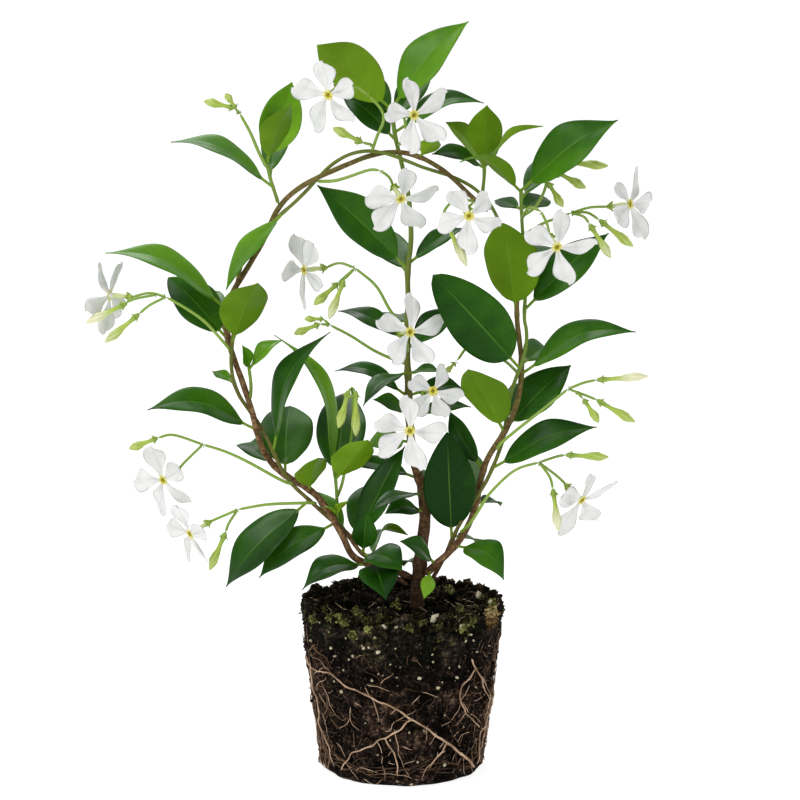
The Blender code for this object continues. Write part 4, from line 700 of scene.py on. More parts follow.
def ring(across: np.ndarray, side: np.ndarray, count: int) -> np.ndarray:
    """Directions once round, cos t × across + sin t × side, a row of them for each pair."""
    turn = turns(count)[:, None]
    return np.cos(turn) * across[..., None, :] + np.sin(turn) * side[..., None, :]


def spread(values: Sequence[float], count: int) -> np.ndarray:
    """Values read at so many even places along a row of them."""
    return np.interp(np.linspace(0, 1, count), np.linspace(0, 1, len(values)), values)


def run_of(path: np.ndarray) -> np.ndarray:
    """Length of a path from its start to each of its points."""
    return np.concatenate([[0], np.cumsum(np.linalg.norm(np.diff(path, axis=0), axis=1))])


def tangents(path: np.ndarray) -> np.ndarray:
    """Unit direction of a path at each of its points."""
    return unit(np.gradient(path, axis=0))


def thinned(line: np.ndarray) -> np.ndarray:
    """Every fourth point of a line, and its last."""
    return np.vstack([line[:-3:4], line[-1:]])


def smooth(points: np.ndarray, step: float) -> np.ndarray:
    """Even points along the smooth curve through given points.

    Between points b and c with neighbours a and d, the curve is
    b + (c - a)t/2 + (2a - 5b + 4c - d)t²/2 + (3b - a - 3c + d)t³/2.

    Args:
        points: the points that the curve goes through.
        step: about how far apart the new points lie.

    Returns:
        The new points, ends included.
    """
    points = np.asarray(points)
    padded = np.vstack([2 * points[0] - points[1], points, 2 * points[-1] - points[-2]])
    a, b, c, d = (padded[k : len(padded) - 3 + k, None] for k in range(4))
    t = np.linspace(0, 1, CURVE_STEPS, endpoint=False)[None, :, None]
    fine = b + (c - a) * t / 2 + (2 * a - 5 * b + 4 * c - d) * t**2 / 2
    fine = fine + (3 * b - a - 3 * c + d) * t**3 / 2
    fine = np.vstack([fine.reshape(-1, 3), points[-1:]])
    run = run_of(fine)
    even = np.linspace(0, run[-1], max(2, round(run[-1] / step) + 1))
    return np.stack([np.interp(even, run, fine[:, k]) for k in range(3)], 1)


def domed(path: np.ndarray, radii: np.ndarray) -> np.ndarray:
    """Radii rounded off like a half ball at both ends of a path.

    Within a radius r of an end, at a distance e, the radius is r√(2e/r - e²/r²).

    Args:
        path: the middle line.
        radii: the radius at each of its points.

    Returns:
        The new radii.
    """
    run = run_of(path)
    end = np.clip(np.minimum(run, run[-1] - run) / radii, 0, 1)
    return radii * np.sqrt(np.maximum(2 * end - end**2, END_SQUARE))


def thin_section(over: Sequence[float]) -> tuple[np.ndarray, np.ndarray]:
    """Places once round a thin blade: over its upper side and back under it.

    Args:
        over: places from the blade's middle, 0, to its edge, 1.

    Returns:
        A row of the places, -1 to 1, and a row of 1 for above and -1 for below.
    """
    over = np.array(over)
    places = np.concatenate([-over[:0:-1], over, over[-2:0:-1], -over[:-1]])
    sign = np.where(np.arange(len(places)) < 2 * len(over) - 1, 1.0, -1.0)
    return places[None], sign[None]


@dataclass
class Skin:
    """Closed surfaces: points, faces of four and three corners, and marks on the points."""

    points: np.ndarray
    quads: np.ndarray
    triangles: np.ndarray
    marks: dict[str, np.ndarray] = field(default_factory=dict)

    @staticmethod
    def joined(skins: Sequence["Skin"]) -> "Skin":
        """Several skins as one.

        Args:
            skins: skins that carry the same marks.

        Returns:
            One skin with all their faces.
        """
        starts = np.cumsum([0] + [len(skin.points) for skin in skins[:-1]])
        return Skin(
            np.vstack([skin.points for skin in skins]),
            np.vstack([skin.quads + start for skin, start in zip(skins, starts)]),
            np.vstack([skin.triangles + start for skin, start in zip(skins, starts)]),
            {
                name: np.concatenate([skin.marks[name] for skin in skins])
                for name in skins[0].marks
            },
        )

    def outward(self) -> "Skin":
        """Turn the faces to look out of what they enclose, by the sign of its volume.

        Returns:
            The skin itself.
        """
        spots = self.points - self.points.mean(0)
        halves = np.vstack([self.triangles, self.quads[:, :3], self.quads[:, [0, 2, 3]]])
        a, b, c = (spots[halves[:, k]] for k in range(3))
        if np.einsum("ij,ij->", a, np.cross(b, c)) < 0:
            self.quads, self.triangles = self.quads[:, ::-1], self.triangles[:, ::-1]
        return self


def rolled(grid: np.ndarray, marks: dict[str, np.ndarray]) -> Skin:
    """A closed skin over a grid of points whose columns run once round.

    Face (i, j) joins points (i, j), (i, j+1), (i+1, j+1) and (i+1, j), with the columns
    counted round; the first and last rows are closed by fans to their middles.

    Args:
        grid: rows × columns × 3 points.
        marks: a value for each point of the grid, by the mark's name.

    Returns:
        The skin, facing outward.
    """
    rows, columns = grid.shape[:2]
    row, column = np.mgrid[: rows - 1, :columns]
    after = (column + 1) % columns
    quads = np.stack([row * columns + column, row * columns + after], -1).reshape(-1, 2)
    quads = np.hstack([quads, quads[:, ::-1] + columns])
    turn = np.arange(columns)
    ends = np.full((2, columns), rows * columns) + [[0], [1]]
    last = (rows - 1) * columns
    first = np.stack([ends[0], (turn + 1) % columns, turn], 1)
    final = np.stack([ends[1], last + turn, last + (turn + 1) % columns], 1)
    points = np.vstack([grid.reshape(-1, 3), grid[0].mean(0), grid[-1].mean(0)])
    given = {}
    for name, value in marks.items():
        full = np.broadcast_to(value, (rows, columns))
        given[name] = np.concatenate([full.ravel(), [full[0].mean(), full[-1].mean()]])
    return Skin(points, quads, np.vstack([first, final]), given).outward()


def swept(path: np.ndarray, radii: np.ndarray, columns: int, marks: dict) -> Skin:
    """A tube along a path.

    Point (i, j) is path i + radius (i, j) × (cos t × across + sin t × side), t = 2πj /
    columns; across is what is left of the direction that the path turns least in.

    Args:
        path: the middle line.
        radii: one radius a path point, or a row of one radius a column.
        columns: points round the tube.
        marks: marks of the path's points or of the whole grid.

    Returns:
        The tube's skin.
    """
    along = tangents(path)
    flat = np.linalg.eigh(along.T @ along)[1][:, 0]
    across = unit(flat - along * (along @ flat)[:, None])
    radii = np.asarray(radii).reshape(len(path), -1, 1)
    grid = path[:, None] + ring(across, np.cross(along, across), columns) * radii
    return rolled(grid, {k: v[:, None] if np.ndim(v) == 1 else v for k, v in marks.items()})


def wandering(points: np.ndarray, size: float, seed: Seed) -> np.ndarray:
    """Smooth noise from -1 to 1.

    Random values at the corners of cubes of the given size are blended by 3t² - 2t³
    along each axis.

    Args:
        points: where to read it.
        size: edge of the cubes.
        seed: start of the random values.

    Returns:
        One value a point.
    """
    table = np.random.default_rng(seed).uniform(-1, 1, (NOISE_CUBES,) * 3)
    cell = np.floor(points / size).astype(int)
    t = points / size - cell
    t = t * t * (3 - 2 * t)
    total = np.zeros(len(points))
    for corner in itertools.product((0, 1), repeat=3):
        weight = np.prod(np.where(corner, t, 1 - t), axis=1)
        total += weight * table[tuple(((cell + corner) % NOISE_CUBES).T)]
    return total


def crumbly(points: np.ndarray, size: float, seed: Seed) -> np.ndarray:
    """Rounded crumbs: 1 less the distance to the nearest of random points, one a cube.

    Args:
        points: where to read it.
        size: edge of the cubes.
        seed: start of the random points.

    Returns:
        One value a point, 1 in the middle of a crumb.
    """
    table = np.random.default_rng(seed).random((NOISE_CUBES, NOISE_CUBES, NOISE_CUBES, 3))
    own = points / size
    cell = np.floor(own).astype(int)
    nearest = np.full(len(points), np.inf)
    for offset in itertools.product((-1, 0, 1), repeat=3):
        around = cell + offset
        spot = around + table[tuple((around % NOISE_CUBES).T)]
        nearest = np.minimum(nearest, np.linalg.norm(own - spot, axis=1))
    return 1 - nearest


def turned(count: int, draw: np.random.Generator) -> np.ndarray:
    """Random turns, from random unit quaternions.

    Args:
        count: how many.
        draw: what the quaternions are drawn from.

    Returns:
        One 3 × 3 matrix a turn.
    """
    w, x, y, z = unit(draw.normal(size=(count, 4))).T
    rows = [
        [1 - 2 * (y * y + z * z), 2 * (x * y - w * z), 2 * (x * z + w * y)],
        [2 * (x * y + w * z), 1 - 2 * (x * x + z * z), 2 * (y * z - w * x)],
        [2 * (x * z - w * y), 2 * (y * z + w * x), 1 - 2 * (x * x + y * y)],
    ]
    return np.moveaxis(np.array(rows), 2, 0)


def ball_solid(form: Solid) -> tuple[np.ndarray, np.ndarray]:
    """Corners, at distance 1 from the middle, and triangles of an eight- or twenty-sided solid.

    Args:
        form: which solid.

    Returns:
        Corners and triangles, looking outward.
    """
    if form is Solid.EIGHT:
        corners = np.vstack([np.eye(3), -np.eye(3)])
        faces = [(0, 1, 2), (1, 3, 2), (3, 4, 2), (4, 0, 2)]
        faces += [(1, 0, 5), (3, 1, 5), (4, 3, 5), (0, 4, 5)]
        return corners, np.array(faces)
    gold = (1 + math.sqrt(5)) / 2
    pairs = [(s, t * gold) for s in (-1, 1) for t in (-1, 1)]
    corners = [(0, a, b) for a, b in pairs] + [(a, b, 0) for a, b in pairs]
    corners = unit(np.array(corners + [(b, 0, a) for a, b in pairs], float))
    # An edge is 1.05 long, and the next distance between two corners 1.7.
    near = np.linalg.norm(corners[:, None] - corners, axis=2) < 1.2
    threes = itertools.combinations(range(len(corners)), 3)
    faces = np.array([(a, b, c) for a, b, c in threes if near[a, b] and near[b, c] and near[a, c]])
    a, b, c = (corners[faces[:, k]] for k in range(3))
    inward = np.einsum("ij,ij->i", a, np.cross(b, c)) < 0
    faces[inward] = faces[inward][:, ::-1]
    return corners, faces


def scattered(
    spots: np.ndarray, sizes: np.ndarray, form: Solid, jitter: float, seed: Seed, tone: np.ndarray
) -> Skin:
    """Rough lumps: copy k has corners spot k + turn k (corner × size k × (1 ± jitter)).

    Args:
        spots: middle of each lump.
        sizes: half its length along its own three axes.
        form: the solid that the lumps are made from.
        jitter: how unevenly far out the corners lie.
        seed: start of the random turns.
        tone: a mark for each lump.

    Returns:
        The lumps as one skin.
    """
    draw = np.random.default_rng(seed)
    corners, faces = ball_solid(form)
    count = len(spots)
    shape = corners * draw.uniform(1 - jitter, 1 + jitter, (count, len(corners), 1))
    shape = np.einsum("nij,nkj->nki", turned(count, draw), shape * sizes[:, None])
    points = (spots[:, None] + shape).reshape(-1, 3)
    starts = np.arange(count)[:, None, None] * len(corners)
    triangles = (faces[None] + starts).reshape(-1, 3)
    tone = np.repeat(tone, len(corners))
    return Skin(points, np.zeros((0, 4), int), triangles, {"tone": tone})


class Wire:
    """A shader socket that Python's arithmetic works on."""

    def __init__(self, board: "Board", socket: bpy.types.NodeSocket) -> None:
        """Keep the board and the socket."""
        self.board = board
        self.socket = socket

    def _with(self, operation: str, first: object, second: object = 0.0) -> "Wire":
        """A Math node on two values."""
        made = self.board.node("ShaderNodeMath", {"operation": operation}, {0: first, 1: second})
        return Wire(self.board, made.outputs[0])

    def __add__(self, other: object) -> "Wire":
        """self + other."""
        return self._with("ADD", self, other)

    __radd__ = __add__

    def __sub__(self, other: object) -> "Wire":
        """self - other."""
        return self._with("SUBTRACT", self, other)

    def __rsub__(self, other: object) -> "Wire":
        """other - self."""
        return self._with("SUBTRACT", other, self)

    def __mul__(self, other: object) -> "Wire":
        """self × other."""
        return self._with("MULTIPLY", self, other)

    __rmul__ = __mul__

    def __abs__(self) -> "Wire":
        """|self|."""
        return self._with("ABSOLUTE", self)

    def part(self) -> "Wire":
        """self less its whole part."""
        return self._with("FRACT", self)

    def wave(self) -> "Wire":
        """Sine of self."""
        return self._with("SINE", self)

    def over(self, low: float, high: float) -> "Wire":
        """0 where self is low, 1 where it is high, smooth and held between.

        Args:
            low: value that gives 0; it may be the greater of the two.
            high: value that gives 1.

        Returns:
            The new value.
        """
        settings = {"interpolation_type": "SMOOTHSTEP"}
        values = {0: self, 1: min(low, high), 2: max(low, high), 3: 0.0, 4: 1.0}
        value = Wire(self.board, self.board.node("ShaderNodeMapRange", settings, values).outputs[0])
        return 1 - value if low > high else value


class Board:
    """A material's nodes."""

    def __init__(self, name: str) -> None:
        """Start a material with its Principled shader.

        Args:
            name: the material's name.
        """
        self.material = bpy.data.materials.new(name)
        self.material.use_nodes = True
        self.tree = self.material.node_tree
        self.shader = self.tree.nodes["Principled BSDF"]

    def node(self, kind: str, settings: dict, inputs: dict) -> bpy.types.Node:
        """A node with its settings made first, then its inputs.

        Args:
            kind: the node's type.
            settings: its properties; "stops" are a ramp's places and colours.
            inputs: values or wires by socket name or number.

        Returns:
            The node.
        """
        made = self.tree.nodes.new(kind)
        for name, value in settings.items():
            if name == "stops":
                self._stops(made.color_ramp, value)
            else:
                setattr(made, name, value)
        for socket, value in inputs.items():
            self.feed(made.inputs[socket], value)
        return made

    def _stops(self, ramp: bpy.types.ColorRamp, stops: "Ramp") -> None:
        """Set a ramp's places and colours.

        Args:
            ramp: the node's ramp.
            stops: the places and colours.
        """
        while len(ramp.elements) < len(stops):
            ramp.elements.new(1)
        for element, (place, colour) in zip(ramp.elements, stops):
            element.position = place
            element.color = (*colour, 1)

    def feed(self, socket: bpy.types.NodeSocket, value: object) -> None:
        """Link a wire to a socket, or set the socket's value.

        Args:
            socket: the input.
            value: a wire, a number or a colour.
        """
        if isinstance(value, Wire):
            self.tree.links.new(value.socket, socket)
        elif isinstance(value, tuple) and len(value) == 3 and socket.type == "RGBA":
            socket.default_value = (*value, 1)
        else:
            socket.default_value = value

    def mark(self, name: str) -> Wire:
        """A mark of the mesh's points."""
        made = self.node("ShaderNodeAttribute", {"attribute_name": name}, {})
        return Wire(self, made.outputs["Fac"])

    def place(self) -> Wire:
        """Object coordinates."""
        return Wire(self, self.node("ShaderNodeTexCoord", {}, {}).outputs["Object"])

    def noise(self, size: float, detail: float = 3, rough: float = 0.55) -> Wire:
        """Noise from 0 to 1 whose patches are about that size in metres."""
        values = {"Vector": self.place(), "Scale": 1 / size, "Detail": detail, "Roughness": rough}
        return Wire(self, self.node("ShaderNodeTexNoise", {}, values).outputs[0])

    def cells(self, size: float) -> Wire:
        """Distance to the nearest of scattered points that lie about size apart."""
        values = {"Vector": self.place(), "Scale": 1 / size}
        return Wire(self, self.node("ShaderNodeTexVoronoi", {}, values).outputs[0])

    def ramp(self, value: Wire, stops: "Ramp") -> Wire:
        """Colours laid along a value."""
        return Wire(self, self.node("ShaderNodeValToRGB", {"stops": stops}, {0: value}).outputs[0])

    def mix(self, factor: object, first: object, second: object) -> Wire:
        """The first colour where the factor is 0, the second where it is 1."""
        made = self.node("ShaderNodeMix", {"data_type": "RGBA"}, {0: factor, 6: first, 7: second})
        return Wire(self, made.outputs[2])

    def bump(self, height: Wire, depth: float, strength: float) -> Wire:
        """A normal bent by a height from 0 to 1 that is depth metres high."""
        values = {"Strength": strength, "Distance": depth, "Height": height}
        return Wire(self, self.node("ShaderNodeBump", {}, values).outputs[0])

    def dress(self, colour: object, roughness: object, **sockets: object) -> bpy.types.Material:
        """Feed the shader's sockets, named with underscores for spaces.

        Args:
            colour: the base colour.
            roughness: its roughness.
            sockets: values or wires by socket.

        Returns:
            The material.
        """
        for name, value in {"Base Color": colour, "Roughness": roughness, **sockets}.items():
            self.feed(self.shader.inputs[name.replace("_", " ")], value)
        return self.material


Colour = tuple[float, float, float]
Ramp = tuple[tuple[float, Colour], ...]


@dataclass(frozen=True)
class LeafFinish:
    """Waxy blade: dark or fresh green above, olive below, pale midrib, faint side veins."""

    above: Ramp = (
        (0, (0.004, 0.035, 0.001)), (0.25, (0.018, 0.09, 0.002)), (0.5, (0.055, 0.18, 0.004)),
        (0.75, (0.11, 0.28, 0.008)), (1, (0.2, 0.42, 0.02)),
    )  # fmt: skip
    below: Ramp = ((0, (0.045, 0.11, 0.002)), (0.5, (0.095, 0.2, 0.003)), (1, (0.2, 0.36, 0.015)))
    rib: Colour = (0.14, 0.3, 0.03)
    stalk: Colour = (0.16, 0.28, 0.02)
    rib_strength: float = 0.42
    vein_strength: float = 0.05
    edge_strength: float = 0.25
    side_veins: float = 9
    vein_lean: float = 2.1
    blotches: float = 9 * MM
    shine_patches: float = 30 * MM
    bump: float = 0.15 * MM

    def material(self) -> bpy.types.Material:
        """The blade's material.

        Side veins run where side_veins × along - lean × across, bent by noise, passes a
        whole number and a half.

        Returns:
            The material.
        """
        board = Board("leaf_blade")
        # The tone mark holds painted shade and painted sheen besides the leaf's own green.
        tone, top = board.mark("tone"), board.mark("top")
        along, across = board.mark("along"), abs(board.mark("across"))
        tone = tone + (board.noise(self.blotches) - 0.5) * 0.36
        # The across term paints one half of the folded blade lighter and the other darker: painted light
        # and shade.
        tone = tone + along.over(0.9, 0.0) * 0.08 + board.mark("across") * 0.1
        drift = (board.noise(7 * MM, 2) - 0.5) * 1.1
        lean = along * self.side_veins - across * self.vein_lean * (2.2 - across) + drift
        line = abs(lean.part() - 0.5).over(0.07, 0.0)
        faint = line * across.over(0.95, 0.5) * across.over(0.03, 0.25)
        under, upper = board.ramp(tone, self.below), board.ramp(tone, self.above)
        face = board.mix(top.over(0.49, 0.51), under, upper)
        face = board.mix(faint * self.vein_strength, face, self.rib)
        rib = across.over(0.036, 0.01) * along.over(1.0, 0.55)
        face = board.mix(rib * self.rib_strength, face, self.rib)
        face = board.mix(across.over(0.975, 1.0) * self.edge_strength, face, self.rib)
        face = board.mix(along.over(0.03, -0.02), face, self.stalk)
        rough = 0.4 + (1 - top) * 0.2 + (board.noise(2.5 * MM) - 0.5) * 0.14
        sheen = board.noise(self.shine_patches, 1).over(0.35, 0.55) * 0.5 * board.mark("gloss")
        sheen = (0.05 + sheen) * (0.3 + top * 0.7)
        height = board.noise(0.9 * MM, 2) * 0.2 + (1 - faint) * 0.3
        height = height + board.noise(6 * MM, 2) * 1.2
        bumps = board.bump(height, self.bump, 0.6)
        shine = {"Specular_IOR_Level": 0.08, "Coat_Weight": sheen, "Coat_Roughness": 0.3}
        return board.dress(face, rough, Normal=bumps, **shine)


@dataclass(frozen=True)
class BarkFinish:
    """Stem skin: brown bark with pale dots, green where it is young, darker low down towards the soil.
    """

    brown: Ramp = ((0.3, (0.03, 0.011, 0.004)), (0.5, (0.13, 0.066, 0.028)), (0.7, (0.36, 0.21, 0.1)))
    olive: Colour = (0.16, 0.15, 0.03)
    fresh: Colour = (0.2, 0.34, 0.045)
    shade: Colour = (0.06, 0.1, 0.02)
    dot: Colour = (0.32, 0.24, 0.15)
    # Colour that the bark darkens to low down towards the soil.
    dark_full: Colour = (0.02, 0.009, 0.005)
    grain: float = 1.6 * MM
    dots_apart: float = 2.2 * MM
    bump: float = 0.2 * MM

    def material(self) -> bpy.types.Material:
        """The stem's material.

        Returns:
            The material.
        """
        board = Board("stem_bark")
        green = board.mark("green")
        grain = board.noise(self.grain, 4, 0.7)
        bark = board.ramp(grain, self.brown)
        young = board.mix(green.over(0.45, 0.95), self.olive, self.fresh)
        young = board.mix(grain * 0.5, young, self.shade)
        patchy = green + (board.noise(6 * MM) - 0.5) * 0.5
        skin = board.mix(patchy.over(0.15, 0.55), bark, young)
        dots = board.cells(self.dots_apart).over(0.22, 0.12)
        skin = board.mix(dots * 0.45, skin, self.dot)
        # The bark darkens low down towards the soil.
        skin = board.mix(board.mark("damp") * 0.7, skin, self.dark_full)
        bumps = board.bump(grain + dots * 0.6, self.bump, 0.7)
        return board.dress(skin, 0.75 - green * 0.25, Normal=bumps, Specular_IOR_Level=0.15)


@dataclass(frozen=True)
class StalkFinish:
    """Flower stalks, calyces and buds: yellow-green, paling to cream on ripe buds, with painted shade in
    the buds' grooves.
    """

    green: Colour = (0.16, 0.3, 0.03)
    bright: Colour = (0.4, 0.52, 0.07)
    cream: Colour = (0.76, 0.76, 0.5)
    furrow: Colour = (0.1, 0.2, 0.015)
    grain: float = 0.8 * MM
    bump: float = 0.08 * MM

    def material(self) -> bpy.types.Material:
        """The stalks' material.

        Returns:
            The material.
        """
        board = Board("flower_stalk")
        pale = board.mark("pale") + (board.noise(2 * MM) - 0.5) * 0.16
        skin = board.mix(pale.over(0.0, 0.5), self.green, self.bright)
        skin = board.mix(pale.over(0.5, 1.0), skin, self.cream)
        # Darker green in the buds' grooves: painted shade.
        skin = board.mix(board.mark("furrow") * 0.65, skin, self.furrow)
        return board.dress(skin, 0.45, Normal=board.bump(board.noise(self.grain), self.bump, 0.5))


@dataclass(frozen=True)
class PetalFinish:
    """Cool white petals with faint lengthwise veins and painted grey shade, darkest along the crease
    near the throat, round a golden eye.
    """

    white: Colour = (0.8, 0.8, 0.785)
    shade: Colour = (0.55, 0.57, 0.55)
    gold: Colour = (0.76, 0.7, 0.1)
    eye: Colour = (0.3, 0.26, 0.025)
    tube: Colour = (0.62, 0.68, 0.34)
    veins: float = 13
    bump: float = 0.2 * MM

    def material(self) -> bpy.types.Material:
        """The petals' material.

        Returns:
            The material.
        """
        board = Board("petal")
        wavy = board.mark("over") * self.veins + (board.noise(5 * MM) - 0.5) * 4
        veins = wavy.wave() * 0.5 + 0.5
        # Faint veins, and painted grey shade in soft patches and along the crease near the throat.
        shaded = veins * 0.07 + board.noise(7 * MM).over(0.35, 0.75) * 0.6
        face = board.mix(shaded + board.mark("fold") * 0.7, self.white, self.shade)
        face = board.mix(board.mark("tube"), face, self.tube)
        face = board.mix(board.mark("gold"), face, self.gold)
        face = board.mix(board.mark("deep"), face, self.eye)
        bumps = board.bump(veins * 0.12 + board.noise(5 * MM, 2) * 2, self.bump, 0.7)
        return board.dress(face, 0.6, Normal=bumps, Specular_IOR_Level=0.12)


@dataclass(frozen=True)
class SoilFinish:
    """Damp peat: brown with matted fibre on the side, black on top, green here and there."""

    peat: Ramp = (
        (0.41, (0.0007, 0.0004, 0.0003)), (0.51, (0.006, 0.0037, 0.0027)),
        (0.62, (0.028, 0.017, 0.0118)), (0.75, (0.2, 0.125, 0.082)),
    )  # fmt: skip
    black: Ramp = (
        (0.41, (0.0005, 0.0005, 0.0004)), (0.51, (0.0037, 0.0031, 0.0022)),
        (0.61, (0.021, 0.016, 0.0108)), (0.75, (0.115, 0.088, 0.054)),
    )  # fmt: skip
    fibre: Colour = (0.13, 0.078, 0.042)
    green: Colour = (0.045, 0.047, 0.014)
    grain: float = 1.3 * MM
    mat_patches: float = 9 * MM
    fibres: float = 0.6 * MM
    bump: float = 0.9 * MM

    def material(self) -> bpy.types.Material:
        """The soil's material.

        Returns:
            The material.
        """
        board = Board("peat")
        grain = board.noise(self.grain, 5, 0.75)
        # On the peat's surface the tone mark darkens the hollows between crumbs: painted shade.
        light = grain * 0.64 + board.mark("tone") * 0.37
        skin = board.ramp(light, self.peat)
        patches = board.noise(self.mat_patches, 2).over(0.45, 0.7)
        fibres = board.noise(self.fibres, 2).over(0.55, 0.72)
        skin = board.mix(board.mark("mat") * (0.25 + 0.75 * patches) * fibres, skin, self.fibre)
        skin = board.mix(board.mark("black"), skin, board.ramp(light, self.black))
        skin = board.mix(board.mark("mossy") * grain.over(0.4, 0.62) * 0.9, skin, self.green)
        bumps = board.bump(grain, self.bump, 1.0)
        return board.dress(skin, 0.92, Normal=bumps, Specular_IOR_Level=0.06)


@dataclass(frozen=True)
class GrainFinish:
    """Small loose things on the soil, coloured from one tone to another."""

    name: str
    colours: Ramp
    rough: float
    bump: float = 0.1 * MM
    blotches: float = 0.9 * MM
    grain: float = 0.5 * MM

    def material(self) -> bpy.types.Material:
        """The grains' material.

        Returns:
            The material.
        """
        board = Board(self.name)
        tone = board.mark("tone") + (board.noise(self.blotches, 3) - 0.5) * 0.5
        colour = board.ramp(tone, self.colours)
        bumps = board.bump(board.noise(self.grain), self.bump, 0.8)
        return board.dress(colour, self.rough, Normal=bumps, Specular_IOR_Level=0.1)


WHITES = ((0, (0.2, 0.16, 0.1)), (0.4, (0.45, 0.38, 0.24)), (0.9, (0.72, 0.66, 0.5)))
GREENS = ((0, (0.012, 0.014, 0.004)), (0.5, (0.09, 0.097, 0.023)), (1, (0.4, 0.41, 0.13)))
RUSTS = ((0, (0.04, 0.02, 0.008)), (0.5, (0.19, 0.11, 0.035)), (1, (0.5, 0.42, 0.2)))
TANS = ((0, (0.05, 0.03, 0.018)), (0.5, (0.2, 0.12, 0.07)), (1, (0.62, 0.43, 0.29)))
PERLITE = GrainFinish("perlite", WHITES, rough=0.9, bump=0.2 * MM)
MOSS = GrainFinish("moss", GREENS, rough=0.85)
RUST = GrainFinish("rusty_moss", RUSTS, rough=0.85)
ROOT_SKIN = GrainFinish("root_skin", TANS, rough=0.8)


@dataclass(frozen=True)
class FloorFinish:
    """Plain floor that shines softly of itself, so that it shows white."""

    grey: Colour = (0.35, 0.35, 0.35)
    white: Colour = (1.0, 1.0, 1.0)
    glow: float = 0.86

    def material(self) -> bpy.types.Material:
        """The floor's material.

        Returns:
            The material.
        """
        light = {"Emission_Color": self.white, "Emission_Strength": self.glow}
        return Board("studio_floor").dress(self.grey, 0.9, Specular_IOR_Level=0.0, **light)


class Workshop:
    """Puts finished skins into the scene."""

    def __init__(self) -> None:
        """Start with no materials and no pieces."""
        self.materials: dict[object, bpy.types.Material] = {}
        self.triangles = 0

    def mesh(self, name: str, skin: Skin, finish: object) -> bpy.types.Object:
        """An object at the origin made from a skin.

        Args:
            name: the object's name.
            skin: its surface.
            finish: what it is dressed in.

        Returns:
            The object.
        """
        mesh = bpy.data.meshes.new(name)
        mesh.vertices.add(len(skin.points))
        mesh.vertices.foreach_set("co", skin.points.astype(np.float32).ravel())
        corners = np.concatenate([skin.quads.ravel(), skin.triangles.ravel()])
        sizes = np.repeat([4, 3], [len(skin.quads), len(skin.triangles)])
        mesh.loops.add(len(corners))
        mesh.loops.foreach_set("vertex_index", corners.astype(np.int32))
        mesh.polygons.add(len(sizes))
        mesh.polygons.foreach_set("loop_start", (np.cumsum(sizes) - sizes).astype(np.int32))
        mesh.update(calc_edges=True)
        for mark, value in skin.marks.items():
            layer = mesh.attributes.new(mark, "FLOAT", "POINT")
            layer.data.foreach_set("value", np.asarray(value, np.float32))
        mesh.shade_smooth()
        if finish not in self.materials:
            self.materials[finish] = finish.material()
        mesh.materials.append(self.materials[finish])
        made = bpy.data.objects.new(name, mesh)
        bpy.context.scene.collection.objects.link(made)
        return made

    def piece(self, name: str, skin: Skin, finish: object, node: str) -> None:
        """Put in a piece that stands for a CAD node, held inside the CAD model's box.

        Args:
            name: the piece's name.
            skin: its surface.
            finish: what it is dressed in.
            node: the CAD node that it replaces.
        """
        skin.points = np.clip(skin.points, CAD_BOX[0] + BOX_MARGIN, CAD_BOX[1] - BOX_MARGIN)
        made = self.mesh(name, skin, finish)
        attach(made, "root")
        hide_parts(node)
        count = 2 * len(skin.quads) + len(skin.triangles)
        self.triangles += count
        log.info("%s: %d triangles", name, count)


class Stem:
    """A stem: its middle line in fine steps, and its radius at each of them."""

    def __init__(self, line: np.ndarray, radii: Sequence[float]) -> None:
        """Lay the smooth line.

        Args:
            line: points that the stem goes through.
            radii: radii spread evenly along it.
        """
        self.line = smooth(line, FINE_STEP)
        self.radii = spread(radii, len(self.line))

    def nearest(self, place: Sequence[float]) -> tuple[int, float]:
        """Index of the point that the viewer sees nearest to a place, and how far off."""
        off = np.linalg.norm(seen_from_front(self.line) - np.array(place[:2]) * MM, axis=1)
        return int(np.argmin(off)), float(off.min())

    def clearance(self, spots: np.ndarray) -> np.ndarray:
        """How far each spot lies outside the stem: √(a² + b² - 2ab) less the radius."""
        square = (spots**2).sum(1)[:, None] + (self.line**2).sum(1) - 2 * spots @ self.line.T
        return (np.sqrt(np.maximum(square, 0)) - self.radii).min(1)


def started_clear(line: np.ndarray, radii: Sequence[float], others: Sequence[Stem]) -> Stem:
    """A stem along a line, from just inside where it first stands clear of its neighbours.

    Args:
        line: points that the stem would go through.
        radii: radii spread evenly along it.
        others: the stems that it leaves or runs beside.

    Returns:
        The stem.
    """
    line = smooth(line, FINE_STEP)
    count = int(len(line) * LEAVING_SHARE)
    rim = ring(*square_to(tangents(line)[:count]), 8) * radii[0]
    rim = np.concatenate([rim, np.zeros((count, 1, 3))], 1) + line[:count, None]
    start = 0
    for other in others:
        close = other.clearance(rim.reshape(-1, 3)).reshape(count, -1).min(1) <= GAP
        start = max([start, *(np.flatnonzero(close) + 1)])
    return Stem(line[max(start - FOOTING, 0) :], radii)


